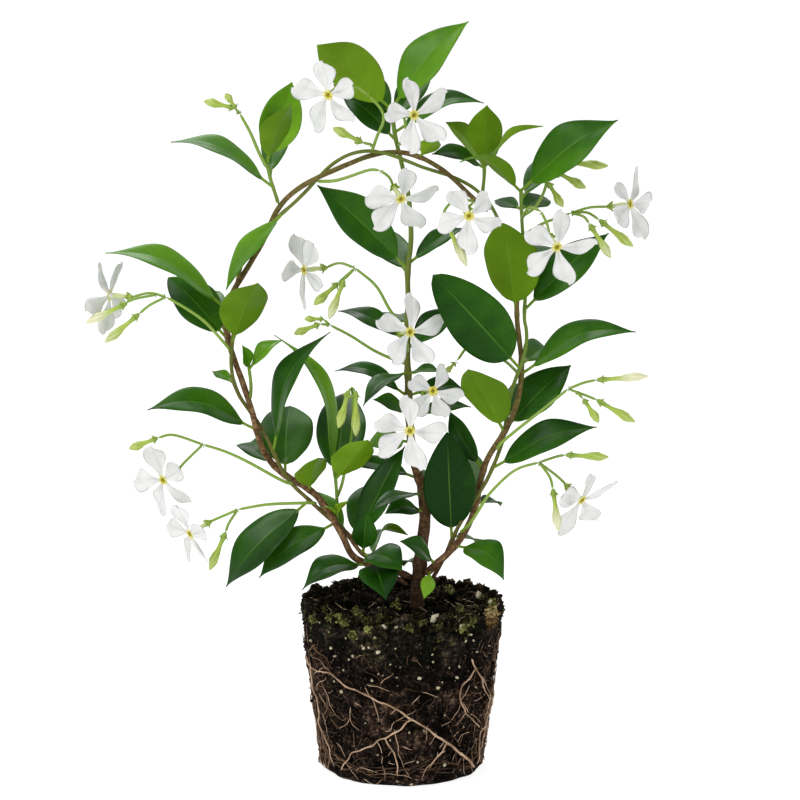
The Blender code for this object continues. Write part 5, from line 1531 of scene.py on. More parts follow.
@dataclass
class Framework:
    """The stems: a centre stem, a hoop of two strands wound round each other, and twigs.

    Green gives, by the stem's name, places along it and how green it is there. The darkening heights of
    the centre stem and of the others give, in millimetres, where the bark starts to darken and where it
    is darkest, low down towards the soil.
    """

    step: float = 1.1 * MM
    columns: int = 14
    swelling: float = 0.16
    swelling_most: float = 1.3
    swelling_reach: float = 1.6 * MM
    unevenness: float = 0.035
    slimness: float = 0.84
    stems: dict[str, Stem] = field(default_factory=dict)
    green: dict[str, tuple] = field(
        default_factory=lambda: {
            "centre_stem": ((0, 0.3, 0.42, 0.6, 1), (0, 0.1, 0.42, 0.6, 0.85)),
            "left_arm": ((0, 0.25, 0.5, 0.72, 1), (0.02, 0.16, 0.26, 0.4, 0.3)),
            "right_arm": ((0, 0.3, 0.6, 1), (0.04, 0.26, 0.34, 0.36)),
            "left_twiner": ((0, 0.2, 0.5, 1), (0.12, 0.4, 0.6, 0.75)),
            "right_twiner": ((0, 0.2, 0.45, 1), (0.14, 0.45, 0.7, 0.95)),
        }
    )
    darkening_centre: tuple = (150, 68)
    darkening_others: tuple = (92, 68)

    def strand(self, guide: np.ndarray, phase: float, first: int, last: int) -> np.ndarray:
        """Middle line of one of the hoop's strands.

        It lies half the strands' distance from the guide, at an angle that grows by a
        full turn each TWIST_LENGTH.

        Args:
            guide: the hoop's own line.
            phase: where round the guide the strand starts.
            first: index on the guide where it starts.
            last: index where it ends.

        Returns:
            The line.
        """
        along = tangents(guide)
        outward = unit(np.cross([0, -1.0, 0], along))
        inward = np.cross(along, outward)
        angle = TWIST_START + phase + 2 * math.pi * np.arange(len(guide)) * FINE_STEP / TWIST_LENGTH
        half = (WOOD_RADII[0] + TWINER_RADII[0] + 2 * GAP) / 2
        path = guide + half * (np.cos(angle)[:, None] * outward + np.sin(angle)[:, None] * inward)
        return path[first:last]

    def lay(self) -> dict[str, Stem]:
        """Lay all the stems, as the CAD model has them.

        Returns:
            The stems by name.
        """
        foot = point(CROWN_PLACE)[0]
        foot[2] = BALL_HEIGHT - CROWN_DEPTH
        rise = [foot, foot + [0, 0, CROWN_DEPTH / 2]]
        centre = Stem(np.vstack([rise, point(CENTRE_STEM)]), CENTRE_RADII)
        guide = smooth(point(HOOP), FINE_STEP)
        seen = seen_from_front(guide)

        def at(place: Sequence[float]) -> int:
            """Index of the guide's point nearest to a place."""
            return int(np.argmin(((seen - np.array(place) * MM) ** 2).sum(1)))

        left = self.strand(guide, 0, 0, at(LEFT_WOOD_END))
        right = self.strand(guide, 0, at(RIGHT_WOOD_END), len(guide))[::-1]
        left_wood = started_clear(left, WOOD_RADII, [centre])
        right_wood = started_clear(right, WOOD_RADII, [centre])
        wood = [centre, left_wood, right_wood]
        winding = self.strand(guide, math.pi, 0, at(LEFT_TWINER_END))
        climb = self.strand(guide, math.pi, at(RIGHT_TWINER_LEAVES), len(guide))[::-1]
        climb = np.vstack([climb[::8], point(TWINER_TIP)])
        self.stems = {
            "centre_stem": centre,
            "left_arm": left_wood,
            "right_arm": right_wood,
            "left_twiner": started_clear(winding, TWINER_RADII, wood),
            "right_twiner": started_clear(climb, TWINER_RADII, wood),
        }
        hoop = [self.stems[name] for name in HOOP_STRANDS]
        for name, twig in TWIGS.items():
            self.stems[name] = started_clear(point(twig.course), TWIG_RADII, hoop)
            self.green[name] = ((0, 1), (0.7, 1))
        return self.stems

    def leaves(self) -> dict[str, list[tuple[Leaf, int]]]:
        """Each stem's leaves, with the index on its line where they grow.

        A leaf of the hoop grows from the strand that stands furthest towards its tip.

        Returns:
            Leaves by the stem's name.
        """
        grown: dict[str, list] = {name: [] for name in self.stems}
        for shape in HOOP_LEAVES:
            tip = point(shape.tip)[0]
            seats = {name: self.stems[name].nearest(shape.base) for name in HOOP_STRANDS}
            near = [name for name in HOOP_STRANDS if seats[name][1] < LEAF_REACH]
            spots = {name: self.stems[name].line[seats[name][0]] for name in near}
            middle = np.mean(list(spots.values()), axis=0)
            name = max(near, key=lambda name: (spots[name] - middle) @ (tip - middle))
            grown[name].append((shape, seats[name][0]))
        owned = {"centre_stem": CENTRE_LEAVES, "right_twiner": TWINER_TIP_LEAVES}
        owned |= {name: twig.leaves for name, twig in TWIGS.items()}
        for name, shapes in owned.items():
            stem = self.stems[name]
            grown[name] += [(shape, stem.nearest(shape.base)[0]) for shape in shapes]
        return grown

    def skin(self, name: str, knots: Sequence[int], number: int) -> Skin:
        """A stem's bark, swollen where leaves grow.

        Radius = the stem's own × (1 + swelling × e^(-(distance/reach)²) for each knot +
        a slow unevenness), rounded off at the ends.

        Args:
            name: which stem.
            knots: indices of its leaves on its line.
            number: the stem's place in the order, for its unevenness.

        Returns:
            The bark.
        """
        stem = self.stems[name]
        path = smooth(thinned(stem.line), self.step)
        run = run_of(path)
        spots = run[-1] * np.array(sorted(set(knots))) / (len(stem.line) - 1)
        away = (run[:, None] - spots) / self.swelling_reach
        swell = 1 + self.swelling * np.minimum(np.exp(-(away**2)).sum(1), self.swelling_most)
        radii = domed(path, spread(stem.radii, len(path)) * swell * self.slimness)
        turn = turns(self.columns)
        uneven = np.sin(2 * turn + run[:, None] * 420 + number)
        uneven = uneven + 0.6 * np.sin(3 * turn - run[:, None] * 730 + 2 * number)
        # Heights where the bark starts to darken and where it is darkest.
        dark_start, dark_full = self.darkening_centre if name == "centre_stem" else self.darkening_others
        marks = {
            "green": np.interp(np.linspace(0, 1, len(path)), *self.green[name]),
            "damp": eased(path[:, 2], dark_start * MM, dark_full * MM),
        }
        rows = radii[:, None] * (1 + self.unevenness * uneven)
        return swept(path, rows, self.columns, marks)


def blade_width(share: np.ndarray, blunt: float) -> np.ndarray:
    """Half-width of a blade as a share of its greatest.

    It is sin(πs^0.85)^p, with p = 0.8 + 0.6s² for a long point and 0.6 for a round end.

    Args:
        share: places along the blade.
        blunt: 0 for a long point, 1 for a round end.

    Returns:
        The half-widths.
    """
    wave = np.maximum(np.sin(math.pi * share**WIDEST_PLACE), 0)
    pointed = BLADE_FULLNESS + END_DRAWN_OUT * share**2
    return wave ** (pointed + (BLUNT_FULLNESS - pointed) * blunt)


@dataclass
class Foliage:
    """Leaves: a round petiole that flattens into a folded, gently waved blade."""

    thickness: float = 0.45 * MM
    petiole: float = 0.6 * MM
    petiole_rows: int = 6
    blade_rows: int = 30
    across: tuple = (0.0, 0.06, 0.14, 0.32, 0.55, 0.78, 0.93, 1.0)
    fold_bend: float = 0.7 * MM
    waves: float = 1.7
    wave_shift: float = 1.4
    wave_height: float = 0.035
    margin_droop: float = 0.09
    rib_width: float = 0.55 * MM
    groove: float = 0.12 * MM
    ridge: float = 0.34 * MM
    arch_skew: float = 1.3
    sway: float = 0.015
    gloss_up: tuple = (0.2, 0.65)
    gloss_across: tuple = (40 * MM, -10 * MM)
    gloss_least: float = 0.25

    def leaf(self, shape: Leaf, foot: np.ndarray, foot_radius: float, number: int) -> Skin:
        """A leaf's closed skin.

        Its middle is foot + chord × s + up × arch × sin(πs^1.3) + side × a slight sway.
        Across it, at x = half × c, it rises by tan(fold) × (√(x² + b²) - b), waves by
        c² sin(2π(1.7v + phase)) and droops by |c|⁵ at the margin; its faces lie half a
        thickness × √(1 - c⁴) above and below that, with a groove over the midrib and a
        ridge under it. Leaves that look up, and more of them on the left, are glossy.

        Args:
            shape: the leaf's row.
            foot: point on its stem's middle line.
            foot_radius: the stem's radius there.
            number: the leaf's number, for its wave.

        Returns:
            The skin.
        """
        tip = point(shape.tip)[0]
        chord = tip - foot
        length = np.linalg.norm(chord)
        ahead = chord / length
        up = way(*shape.face)
        up = unit(up - ahead * (up @ ahead))
        side = np.cross(ahead, up)
        root = PETIOLE_SHARE + foot_radius / length
        stalk = np.linspace(0, root, self.petiole_rows, endpoint=False)
        v = np.linspace(0, 1, self.blade_rows)
        v = np.concatenate([(stalk / root - 1) * 0.15, v**1.06])[:, None]
        share = np.concatenate([stalk[:, None], root + (1 - root) * v[self.petiole_rows :]])
        blade = np.maximum(v, 0)
        half = shape.width * MM / 2 * blade_width(blade, shape.blunt)
        half = np.maximum(half, self.petiole * (1 - eased(blade, 0.6, 1.0) * 0.8))
        c, sign = thin_section(self.across)
        x = half * c
        phase = number * PHASE_STEP
        lift = math.tan(FOLD) * (np.sqrt(x**2 + self.fold_bend**2) - self.fold_bend)
        angle = 2 * math.pi * (self.waves * blade + phase) + self.wave_shift * np.sign(c)
        wave = self.wave_height * shape.width * MM * np.sin(angle)
        lift = lift + wave * c**2 * np.sin(math.pi * blade) - self.margin_droop * half * abs(c) ** 5
        rib = np.exp(-((x / self.rib_width) ** 2)) * (1 - 0.75 * blade)
        thick = self.thickness / 2 * np.sqrt(1 - c**4)
        face = lift + np.where(sign > 0, thick - self.groove * rib, -thick - self.ridge * rib)
        flat = eased(blade, 0.0, 0.1)
        height = face * flat + self.petiole * np.sqrt(1 - c**2) * sign * (1 - flat)
        middle = foot + chord * share
        middle = middle + up * shape.arch * MM * np.sin(math.pi * share**self.arch_skew)
        middle = middle + side * self.sway * length * math.sin(5 * phase) * np.sin(math.pi * share)
        grid = middle[:, None] + side * x[..., None] + up * height[..., None]
        left = eased(tip[0], *self.gloss_across)
        marks = {
            "tone": shape.tone,
            "gloss": eased(up[2], *self.gloss_up) * (self.gloss_least + 0.75 * left),
            "top": np.where(abs(c) == 1, 0.5, sign > 0),
            "along": v,
            "across": c,
        }
        return rolled(grid, marks)

    def skin(self, stem: Stem, leaves: Sequence[tuple[Leaf, int]], first: int) -> Skin:
        """All the leaves of one stem.

        Args:
            stem: the stem.
            leaves: its leaves and where they grow.
            first: number of the first leaf.

        Returns:
            One skin.
        """
        return Skin.joined([
            self.leaf(shape, stem.line[index], float(stem.radii[index]), first + k)
            for k, (shape, index) in enumerate(leaves)
        ])


def bloom_seat(bloom: Bloom) -> tuple[np.ndarray, np.ndarray]:
    """Where a bloom's tube stands, and the way that the bloom looks."""
    face = way(*bloom.face)
    return point(bloom.middle)[0] - face * TUBE_LENGTH, face


def petal_seen(bloom: Bloom, number: int) -> tuple[int, float]:
    """How a petal differs from an even fifth of its bloom, from where its end is seen.

    If M holds the seen shifts for a step up and a step left on the bloom's face, the end
    lies on that face at (x, y) with M (x, y) = its seen shift. Its angle there is
    atan2(y, x) and its distance √(x² + y²).

    Args:
        bloom: the bloom's row.
        number: which petal.

    Returns:
        How many degrees further the petal is turned, and its share of the reach.
    """
    face, middle = way(*bloom.face), point(bloom.middle)[0]
    up = unit(np.array([0, 0, 1.0]) - face * face[2])
    steps = np.stack([up, -np.cross(up, face)]) * MM
    shifts = (seen_from_front(middle + steps) - seen_from_front(middle)) / MM
    x, y = np.linalg.solve(shifts.T, np.array(bloom.ends[number]) * PIXEL)
    even = bloom.turn + 360 / PETALS * number + PETAL_LEAD
    more = (math.degrees(math.atan2(y, x)) - even + 180) % 360 - 180
    share = np.clip(math.hypot(x, y) / (END_SHARE * bloom.reach), *REACH_SHARES)
    return round(np.clip(more, -PETAL_STRAY, PETAL_STRAY)), round(float(share), 2)


@dataclass
class FlowerStalks:
    """Stalks with their calyces, bracts and buds.

    The profiles are places from foot to end and the radii there in millimetres.
    """

    step: float = 1.5 * MM
    columns: int = 8
    bud_rows: int = 30
    bud_columns: int = 20
    bud_profile: tuple = (
        (0, 0.05, 0.1, 0.15, 0.22, 0.35, 0.48, 0.62, 0.75, 0.86, 0.94, 1),
        (0.6, 1.0, 1.3, 1.15, 0.85, 0.85, 1.05, 1.5, 1.7, 1.25, 0.75, 0.25),
    )
    bud_full_length: float = 13 * MM
    bud_least_size: float = 0.45
    bud_twist: float = 6.5
    ridges: int = 5
    ridge: float = 0.18
    calyx_profile: tuple = ((0, 0.5, 1), (0.7, 1.25, 1.15))
    calyx_radius: float = 1.1 * MM
    lobe_length: float = 1.9 * MM
    lobe_width: float = 0.85 * MM
    lobe_thickness: float = 0.22 * MM
    bract_size: float = 0.6

    def stalk(self, line: np.ndarray, radii: Sequence[float]) -> Skin:
        """A slim stalk along a line, rounded off at its ends.

        Args:
            line: points that it goes through.
            radii: radii spread evenly along it.

        Returns:
            The stalk.
        """
        path = smooth(line, self.step)
        radii = domed(path, spread(radii, len(path)))
        return swept(path, radii, self.columns, {"pale": 0.16, "furrow": 0.0})

    def lobe(self, seat: np.ndarray, ahead: np.ndarray, out: np.ndarray, size: float) -> Skin:
        """A small pointed lobe that leans out from a calyx and curls back.

        Its middle is seat + length × (out × 0.6 sin(1.8u) + ahead × (0.9u - 0.4u²)), its
        half-width falls to a point by (1 - u)^0.7, and its section is an ellipse.

        Args:
            seat: where it grows.
            ahead: the way that its calyx points.
            out: the way that it leans.
            size: its length as a share of a full one.

        Returns:
            The lobe.
        """
        u = np.linspace(0, 1, 6)[:, None]
        length = self.lobe_length * size
        path = seat + length * (out * 0.6 * np.sin(1.8 * u) + ahead * (0.9 * u - 0.4 * u**2))
        side = np.cross(ahead, out)
        normal = unit(np.cross(tangents(path), side))
        wide = self.lobe_width * size * (1 - u) ** 0.7 * 0.95 + 0.04 * MM
        turn = turns(6)
        thick = self.lobe_thickness * size * (1 - 0.6 * u)
        grid = path[:, None] + (wide * np.cos(turn))[..., None] * side
        grid = grid + (thick * np.sin(turn))[..., None] * normal[:, None]
        return rolled(grid, {"pale": 0.25 + 0.1 * u, "furrow": 0.0})

    def lobes(
        self, middle: np.ndarray, ahead: np.ndarray, radius: float, size: float
    ) -> list[Skin]:
        """A calyx's five lobes.

        Args:
            middle: the middle of their ring.
            ahead: the way that the calyx points.
            radius: the ring's radius.
            size: their length as a share of a full one.

        Returns:
            The lobes.
        """
        across, side = square_to(ahead)
        angles = turns(PETALS) + middle[0] * 900
        ways = [math.cos(t) * across + math.sin(t) * side for t in angles]
        return [self.lobe(middle + out * radius, ahead, out, size) for out in ways]

    def bud(self, base: np.ndarray, tip: np.ndarray, ripe: float) -> list[Skin]:
        """A closed bud: calyx, slim tube and a spindle of five petals wound together.

        Radius (s, t) = profile(s) × size × (1 + ridge × e(s) × cos(5t - 2 twist × s)).

        Args:
            base: its foot.
            tip: its tip.
            ripe: 0 for a green bud, 1 for a cream one.

        Returns:
            The bud and its calyx lobes.
        """
        length = np.linalg.norm(tip - base)
        grown = min(1, length / self.bud_full_length)
        size = self.bud_least_size + (1 - self.bud_least_size) * grown
        share = np.linspace(0, 1, self.bud_rows)
        path = base + (tip - base) * share[:, None]
        radii = np.interp(share, *self.bud_profile) * MM * size
        turn = turns(self.bud_columns)
        spiral = np.cos(self.ridges * turn - self.bud_twist * share[:, None] * 2)
        strength = eased(share, 0.3, 0.55)[:, None]
        rows = radii[:, None] * (1 + self.ridge * strength * spiral)
        pale = 0.2 + (0.2 + 0.45 * ripe) * eased(share, 0.1, 0.6)
        pale = pale + 0.3 * ripe * eased(share, 0.5, 0.9)
        # Painted shade in the grooves between the spiral ridges.
        furrow = strength * np.clip(-spiral, 0, 1) ** 2 * (0.75 - 0.5 * ripe)
        body = swept(path, rows, self.bud_columns, {"pale": pale, "furrow": furrow})
        ahead, seat = (tip - base) / length, base + (tip - base) * 0.1
        return [body] + self.lobes(seat, ahead, self.calyx_radius * size, size * 0.9)

    def fork(self, fork: Fork, start: tuple) -> list[Skin]:
        """A fork's stalk with its bracts and the calyx or the bud at its end.

        Args:
            fork: its row.
            start: the place where its stalk ends.

        Returns:
            Its skins.
        """
        course = point((fork.start or start, *fork.course))
        if isinstance(fork.end, str):
            end, course = self.calyx(fork.end, course)
        else:
            end = self.bud(course[-1], point(fork.end)[0], fork.ripe)
        return [self.stalk(course, STALK_RADII[1:] * 2)] + end + self.bracts(course)

    def bracts(self, course: np.ndarray) -> list[Skin]:
        """Two small scale leaves where a fork leaves its stalk.

        Args:
            course: the fork's points.

        Returns:
            The bracts.
        """
        ahead = unit(course[1] - course[0])
        out = square_to(ahead)[0]
        seat = course[0] + ahead * 0.4 * MM
        seats = [(seat + side * 0.5 * MM, side) for side in (out, -out)]
        return [self.lobe(place, ahead, side, self.bract_size) for place, side in seats]

    def calyx(self, bloom: str, course: np.ndarray) -> tuple[list[Skin], np.ndarray]:
        """A bloom's calyx, and the stalk's course led into it.

        Args:
            bloom: the bloom's name.
            course: the stalk's points.

        Returns:
            The calyx with its lobes, and the longer course.
        """
        seat, face = bloom_seat(BLOOMS[bloom])
        foot, rim = seat - face * (CALYX_LENGTH + GAP), seat - face * GAP
        course = np.vstack([course, foot + (rim - foot) * 0.2])
        share = np.linspace(0, 1, 9)
        path = foot + (rim - foot) * share[:, None]
        radii = np.interp(share, *self.calyx_profile) * MM
        cup = swept(path, radii, 12, {"pale": 0.3, "furrow": 0.0})
        return [cup] + self.lobes(foot + (rim - foot) * 0.6, face, 1.0 * MM, 1.0), course

    def spray(self, spray: Spray, stems: dict[str, Stem]) -> Skin:
        """A flower stalk with all its forks.

        Args:
            spray: its row.
            stems: the stems by name.

        Returns:
            One skin.
        """
        parents = HOOP_STRANDS if spray.parent == "hoop" else (spray.parent,)
        parents = [stems[name] for name in parents]
        stalk = started_clear(point(spray.course), STALK_RADII, parents)
        skins = [self.stalk(thinned(stalk.line), STALK_RADII)]
        for fork in spray.forks:
            skins += self.fork(fork, spray.course[-1])
        return Skin.joined(skins)

    def short_stalk(self, fork: Fork, stems: dict[str, Stem]) -> Skin:
        """A short stalk that leaves the centre stem, with its bloom's calyx.

        Args:
            fork: its row.
            stems: the stems by name.

        Returns:
            One skin.
        """
        end, course = self.calyx(fork.end, point(fork.course))
        stalk = started_clear(course, STALK_RADII, [stems["centre_stem"]])
        return Skin.joined([self.stalk(thinned(stalk.line), STALK_RADII)] + end)


@dataclass
class Blossom:
    """An open flower: a slim tube, and five broad petals set aslant like a propeller.

    The tube's profile is how far behind the face each ring lies, and its radius, in
    millimetres. Its numbered rings also place the gold and the deep eye.
    """

    thickness: float = 0.36 * MM
    across: tuple = (0.0, 0.3, 0.58, 0.82, 1.0)
    rows: int = 20
    neck: float = 0.05
    broadening: float = 0.235
    end_from: float = 0.66
    slant: float = 0.055
    bend: float = 0.125
    tube_profile: tuple = (
        (8, 6.5, 5, 3.6, 2.4, 1.2, 0.5, 0.1, 0.0, 0.05, 0.12, 0.3, 0.5),
        (0.85, 0.9, 1.05, 1.1, 1.0, 1.0, 1.25, 1.75, 1.9, 1.5, 0.9, 0.55, 0.3),
    )
    tube_columns: int = 20
    tube_pale: tuple = (0.3 * MM, 3 * MM)
    gold_rings: tuple = (6.3, 7.3)
    deep_rings: tuple = (9.2, 10.4)
    gold_reach: tuple = (-2.4 * MM, -1.3 * MM)

    def petal(self, bloom: Bloom, number: int, seed: int) -> Skin:
        """One petal's closed skin.

        At v along and u across, it lies out = reach × (v + slant u v³) from the middle and
        x = reach × (w u + 0.125v²) aside, with w = (neck + broadening × e(v)) × the rounded
        end √(1 - q^2.7). It rises by x tan(twist) × min(1, 2v - 0.1), sinks towards the
        tip by v², curls up along both edges by u², is creased along its middle and waves.

        Args:
            bloom: the bloom's row.
            number: which petal.
            seed: the bloom's number, for small differences.

        Returns:
            The petal.
        """
        face = way(*bloom.face)
        middle = point(bloom.middle)[0]
        up = unit(np.array([0, 0, 1.0]) - face * face[2])
        more, length = petal_seen(bloom, number)
        turn = math.radians(bloom.turn + more) + number * 2 * math.pi / PETALS
        vary = math.sin(12.9 * number + 4.1 * seed)
        reach = bloom.reach * MM * 0.99
        out = up * math.cos(turn) - np.cross(up, face) * math.sin(turn)
        side = np.cross(face, out)
        v = np.linspace(0.05, 1, self.rows)[:, None]
        v = 1 - (1 - v) ** 1.25
        u, sign = thin_section(self.across)
        q = np.clip((v - self.end_from) / (1 - self.end_from), 0, 0.998)
        wide = self.neck + self.broadening * (1.04 + 0.1 * vary) * eased(v, 0.05, 0.76)
        wide = wide * np.sqrt(1 - q**2.7)
        aside = wide * u + self.bend * v**2
        away = (v + self.slant * u * v**3 * eased(v, 0.3, 0.9)) / (1 + 0.4 * self.slant)
        away = away * (1 + (length - 1) * v)
        raised = aside * math.tan(PETAL_TWIST) * np.minimum(1, 2 * v - 0.1)
        curl = (0.075 + 0.03 * vary) * (u**2 - 0.35) * np.sin(math.pi * np.minimum(v * 1.1, 1))
        crease = 0.02 * np.exp(-((u / 0.16) ** 2)) * eased(v, 0.15, 0.4) * (1 - v)
        raised = raised - (0.045 + 0.035 * vary) * v**2 + curl - crease
        raised = raised + 0.014 * np.sin(7 * v + 5 * u + 3 * vary)
        height = raised * reach + sign * self.thickness / 2 * np.sqrt(1 - u**4)
        grid = middle + out * (away * reach)[..., None] + side * (aside * reach)[..., None]
        grid = grid + face * height[..., None]
        marks = {
            "over": u + 0.3 * number,
            "gold": eased(-away * reach, *self.gold_reach),
            "tube": 0.0,
            "deep": 0.0,
            # Painted shade along the petal's crease, strongest near its base.
            "fold": np.exp(-((u / 0.14) ** 2)) * (1 - v) * eased(v, 0.1, 0.3),
        }
        return rolled(grid, marks)

    def tube(self, bloom: Bloom) -> Skin:
        """The tube and its throat, a profile carried round the way that the bloom looks.

        Args:
            bloom: the bloom's row.

        Returns:
            The tube.
        """
        face = way(*bloom.face)
        middle = point(bloom.middle)[0]
        behind, radii = (np.array(row)[:, None] * MM for row in self.tube_profile)
        rim = ring(*square_to(face), self.tube_columns)
        grid = middle - face * behind[:, None] + rim * radii[:, None]
        index = np.arange(len(behind))[:, None]
        marks = {
            "over": 0.0,
            "gold": eased(index, *self.gold_rings),
            "tube": eased(behind, *self.tube_pale),
            "deep": eased(index, *self.deep_rings),
            "fold": 0.0,
        }
        return rolled(grid, marks)

    def skin(self, bloom: Bloom, seed: int) -> Skin:
        """The whole bloom as one skin."""
        petals = [self.petal(bloom, number, seed) for number in range(PETALS)]
        return Skin.joined(petals + [self.tube(bloom)])


def ball_radius(turn: np.ndarray, height: np.ndarray) -> np.ndarray:
    """Radius of the CAD ball's side: a taper and a sum of waves round and up it.

    Args:
        turn: angle round from the front.
        height: share of the ball's height.

    Returns:
        The radius.
    """
    crumbs = sum(
        share * np.sin(around * turn + upward * height + shift)
        for around, upward, shift, share in SIDE_WAVES
    )
    taper = BALL_BASE_RADIUS + (BALL_TOP_RADIUS - BALL_BASE_RADIUS) * height
    return taper + BALL_ROUGHNESS * (crumbs - SIDE_SINK)


def soil_top(turn: np.ndarray, share: np.ndarray) -> np.ndarray:
    """Height of the CAD ball's top: heaps, and a rim that grows with the share cubed.

    Args:
        turn: angle round from the front.
        share: distance from the axis as a share of the top's radius.

    Returns:
        The height.
    """
    rim = RIM_SIDE_RISE * np.abs(np.sin(turn)) ** 3
    rim = rim + RIM_BACK_RISE * np.maximum(-np.cos(turn), 0) ** 2
    rim = rim - RIM_FRONT_DROP * np.maximum(np.cos(turn), 0)
    rim = rim + RIM_WAVE_HEIGHT * np.sin(RIM_WAVES * turn)
    heaps = np.sin(BALL_TOP_RADIUS * share * np.sin(turn) / CLUMP_WAVES[0] + CLUMP_SHIFTS[0])
    near = BALL_TOP_RADIUS * share * np.cos(turn)
    heaps = heaps * np.sin(near / CLUMP_WAVES[1] + CLUMP_SHIFTS[1])
    return BALL_HEIGHT + rim * share**3 + CLUMP_HEIGHT * heaps


def round_axis(radius: np.ndarray, turn: np.ndarray, height: np.ndarray) -> np.ndarray:
    """Points at a radius from the ball's axis, an angle round from its front and a height."""
    return np.stack([radius * np.sin(turn), -radius * np.cos(turn), height], -1)


def on_side(turn: np.ndarray, height: np.ndarray, lift: float) -> np.ndarray:
    """Points off the ball's side, from angles, heights in metres and a lift."""
    return round_axis(ball_radius(turn, height / BALL_HEIGHT) + lift, turn, height)


@dataclass
class RootBall:
    """Peat held by roots: crumbly side and top, flat underside, moss and white grains."""

    columns: int = 400
    side_rows: int = 118
    top_rows: int = 50
    side_depth: float = 1.3 * MM
    top_depth: float = 3.0 * MM
    sunk: float = 0.5 * MM
    foot_setback: float = 0.4 * MM
    large_crumbs: float = 4.2 * MM
    small_crumbs: float = 1.9 * MM
    top_crumbs: float = 6.5 * MM
    sight_reach: float = 0.6 * MM
    crumbs: int = 3600
    chips: int = 1100
    clods: int = 150
    specks: int = 170
    moss_grains: int = 700
    clump_grains: int = 75
    rust_grains: int = 260
    rust_place: tuple = (35.9, 59.2)
    rust_size: tuple = (1.2, 3.2)
    points: np.ndarray = field(default_factory=lambda: np.zeros((0, 3)))
    is_top: np.ndarray = field(default_factory=lambda: np.zeros(0))

    def soil(self) -> Skin:
        """The peat's surface: rings from the underside up the side and in over the top.

        Radius and height follow the CAD ball. The relief is crumbs of 4 and 2 mm, slow
        noise and on the top crumbs of 6.5 mm; it goes outward on the side and upward on
        the top, and fades at the foot.

        Returns:
            The skin, with marks for tone (painted shade in the hollows between crumbs), root mat, black
            peat and moss.
        """
        turn = turns(self.columns)[None]
        side = np.linspace(0.006, 1, self.side_rows)[:, None]
        side = side * (soil_top(turn, 1) - self.foot_setback)
        over = np.linspace(1, 0.012, self.top_rows)[:, None] ** 0.8
        radius = ball_radius(turn, np.minimum(side / BALL_HEIGHT, 1))
        radius = radius - BALL_CHAMFER * (1 - np.clip(side / BALL_CHAMFER, 0, 1)) ** 2 * 0.8
        rim = radius[-1:] - RIM_SETBACK
        radii = np.vstack([radius[:1] - self.foot_setback, radius, rim * over])
        heights = np.vstack([0 * turn, side, soil_top(turn, over)])
        top = np.vstack([np.zeros((1 + self.side_rows, 1)), 1 - eased(over, 0.93, 1.0)])
        self.is_top = np.broadcast_to(top, radii.shape).ravel()
        flat = round_axis(radii, turn, heights).reshape(-1, 3)
        large = crumbly(flat, self.large_crumbs, Seed.COARSE_RELIEF) - 0.5
        small = crumbly(flat, self.small_crumbs, Seed.FINE_RELIEF) - 0.5
        relief = large * 0.9 + small * 0.9 + wandering(flat, 9 * MM, Seed.SLOW_RELIEF) * 0.6
        heaps = crumbly(flat, self.top_crumbs, Seed.TOP_RELIEF) - 0.5
        relief = (relief + heaps * 0.9 * self.is_top).reshape(radii.shape)
        fade = eased(heights, 0, 2.5 * MM)
        outward = (relief * self.side_depth - self.sunk) * (1 - 0.75 * top) * fade
        grown = radii + outward * np.clip(radii / (6 * MM), 0, 1)
        grid = round_axis(grown, turn, heights + relief * self.top_depth * top)
        self.points = grid.reshape(-1, 3)
        patches = wandering(flat, 12 * MM, Seed.PATCHES).reshape(radii.shape)
        low = 8 * MM * np.maximum(np.cos(turn), 0) ** 4
        high = eased(heights, 55 * MM - low, 61 * MM - low)
        mat = 0.12 + 0.88 * np.abs(np.sin(turn)) ** 4 + 0.4 * patches
        near = eased(np.cos(turn), -0.4, 0.3)
        mossy = (patches + 0.35) * near * (top * eased(radii / rim, 0.6, 0.9) + 0.12 * high)
        marks = {
            # Tone is lower in the relief's hollows and higher on its crumbs: painted shade and light.
            "tone": np.clip(0.5 + 0.6 * relief, 0, 1),
            "mat": np.clip(mat, 0, 1) * (1 - top) * (1 - 0.7 * high),
            "black": np.clip(top + high, 0, 1),
            "mossy": np.clip(mossy, 0, 1),
        }
        return rolled(grid, marks)

    def in_sight(self, places: Sequence, lift: float) -> np.ndarray:
        """Where the viewer sees the relief at some places.

        Each place's sight ray is followed as far as the nearest to the eye of the relief's
        points that are seen close to it, less the lift.

        Args:
            places: (across, up) in millimetres.
            lift: how far in front of the relief.

        Returns:
            The points.
        """
        front = self.points[self.points[:, 1] < 20 * MM]
        places = np.asarray(places, float)[:, :2] * MM - SEEN_CENTRE
        off = np.linalg.norm(seen_from_front(front)[None] - SEEN_CENTRE - places[:, None], axis=2)
        close = off <= np.maximum(off.min(1, keepdims=True), self.sight_reach)
        away = np.where(close, (front - EYE) @ SIGHT, np.inf).min(1) - lift
        ray = SIGHT + (places[:, :1] * [1, 0, 0] + places[:, 1:] * RISE) / EYE_DISTANCE
        return EYE + away[:, None] * ray

    def chosen(self, weight: np.ndarray, count: int, seed: Seed) -> np.ndarray:
        """Random points of the peat's surface.

        Args:
            weight: how readily each point is taken, 0 for never.
            count: how many.
            seed: start of the random choice.

        Returns:
            The points.
        """
        area = np.hypot(self.points[:, 0], self.points[:, 1]) * weight
        draw = np.random.default_rng(seed)
        return self.points[draw.choice(len(area), count, p=area / area.sum())]

    def edge(self) -> np.ndarray:
        """Distance of each of the surface's points from the axis, 1 at the rim."""
        return np.hypot(self.points[:, 0], self.points[:, 1]) / BALL_TOP_RADIUS

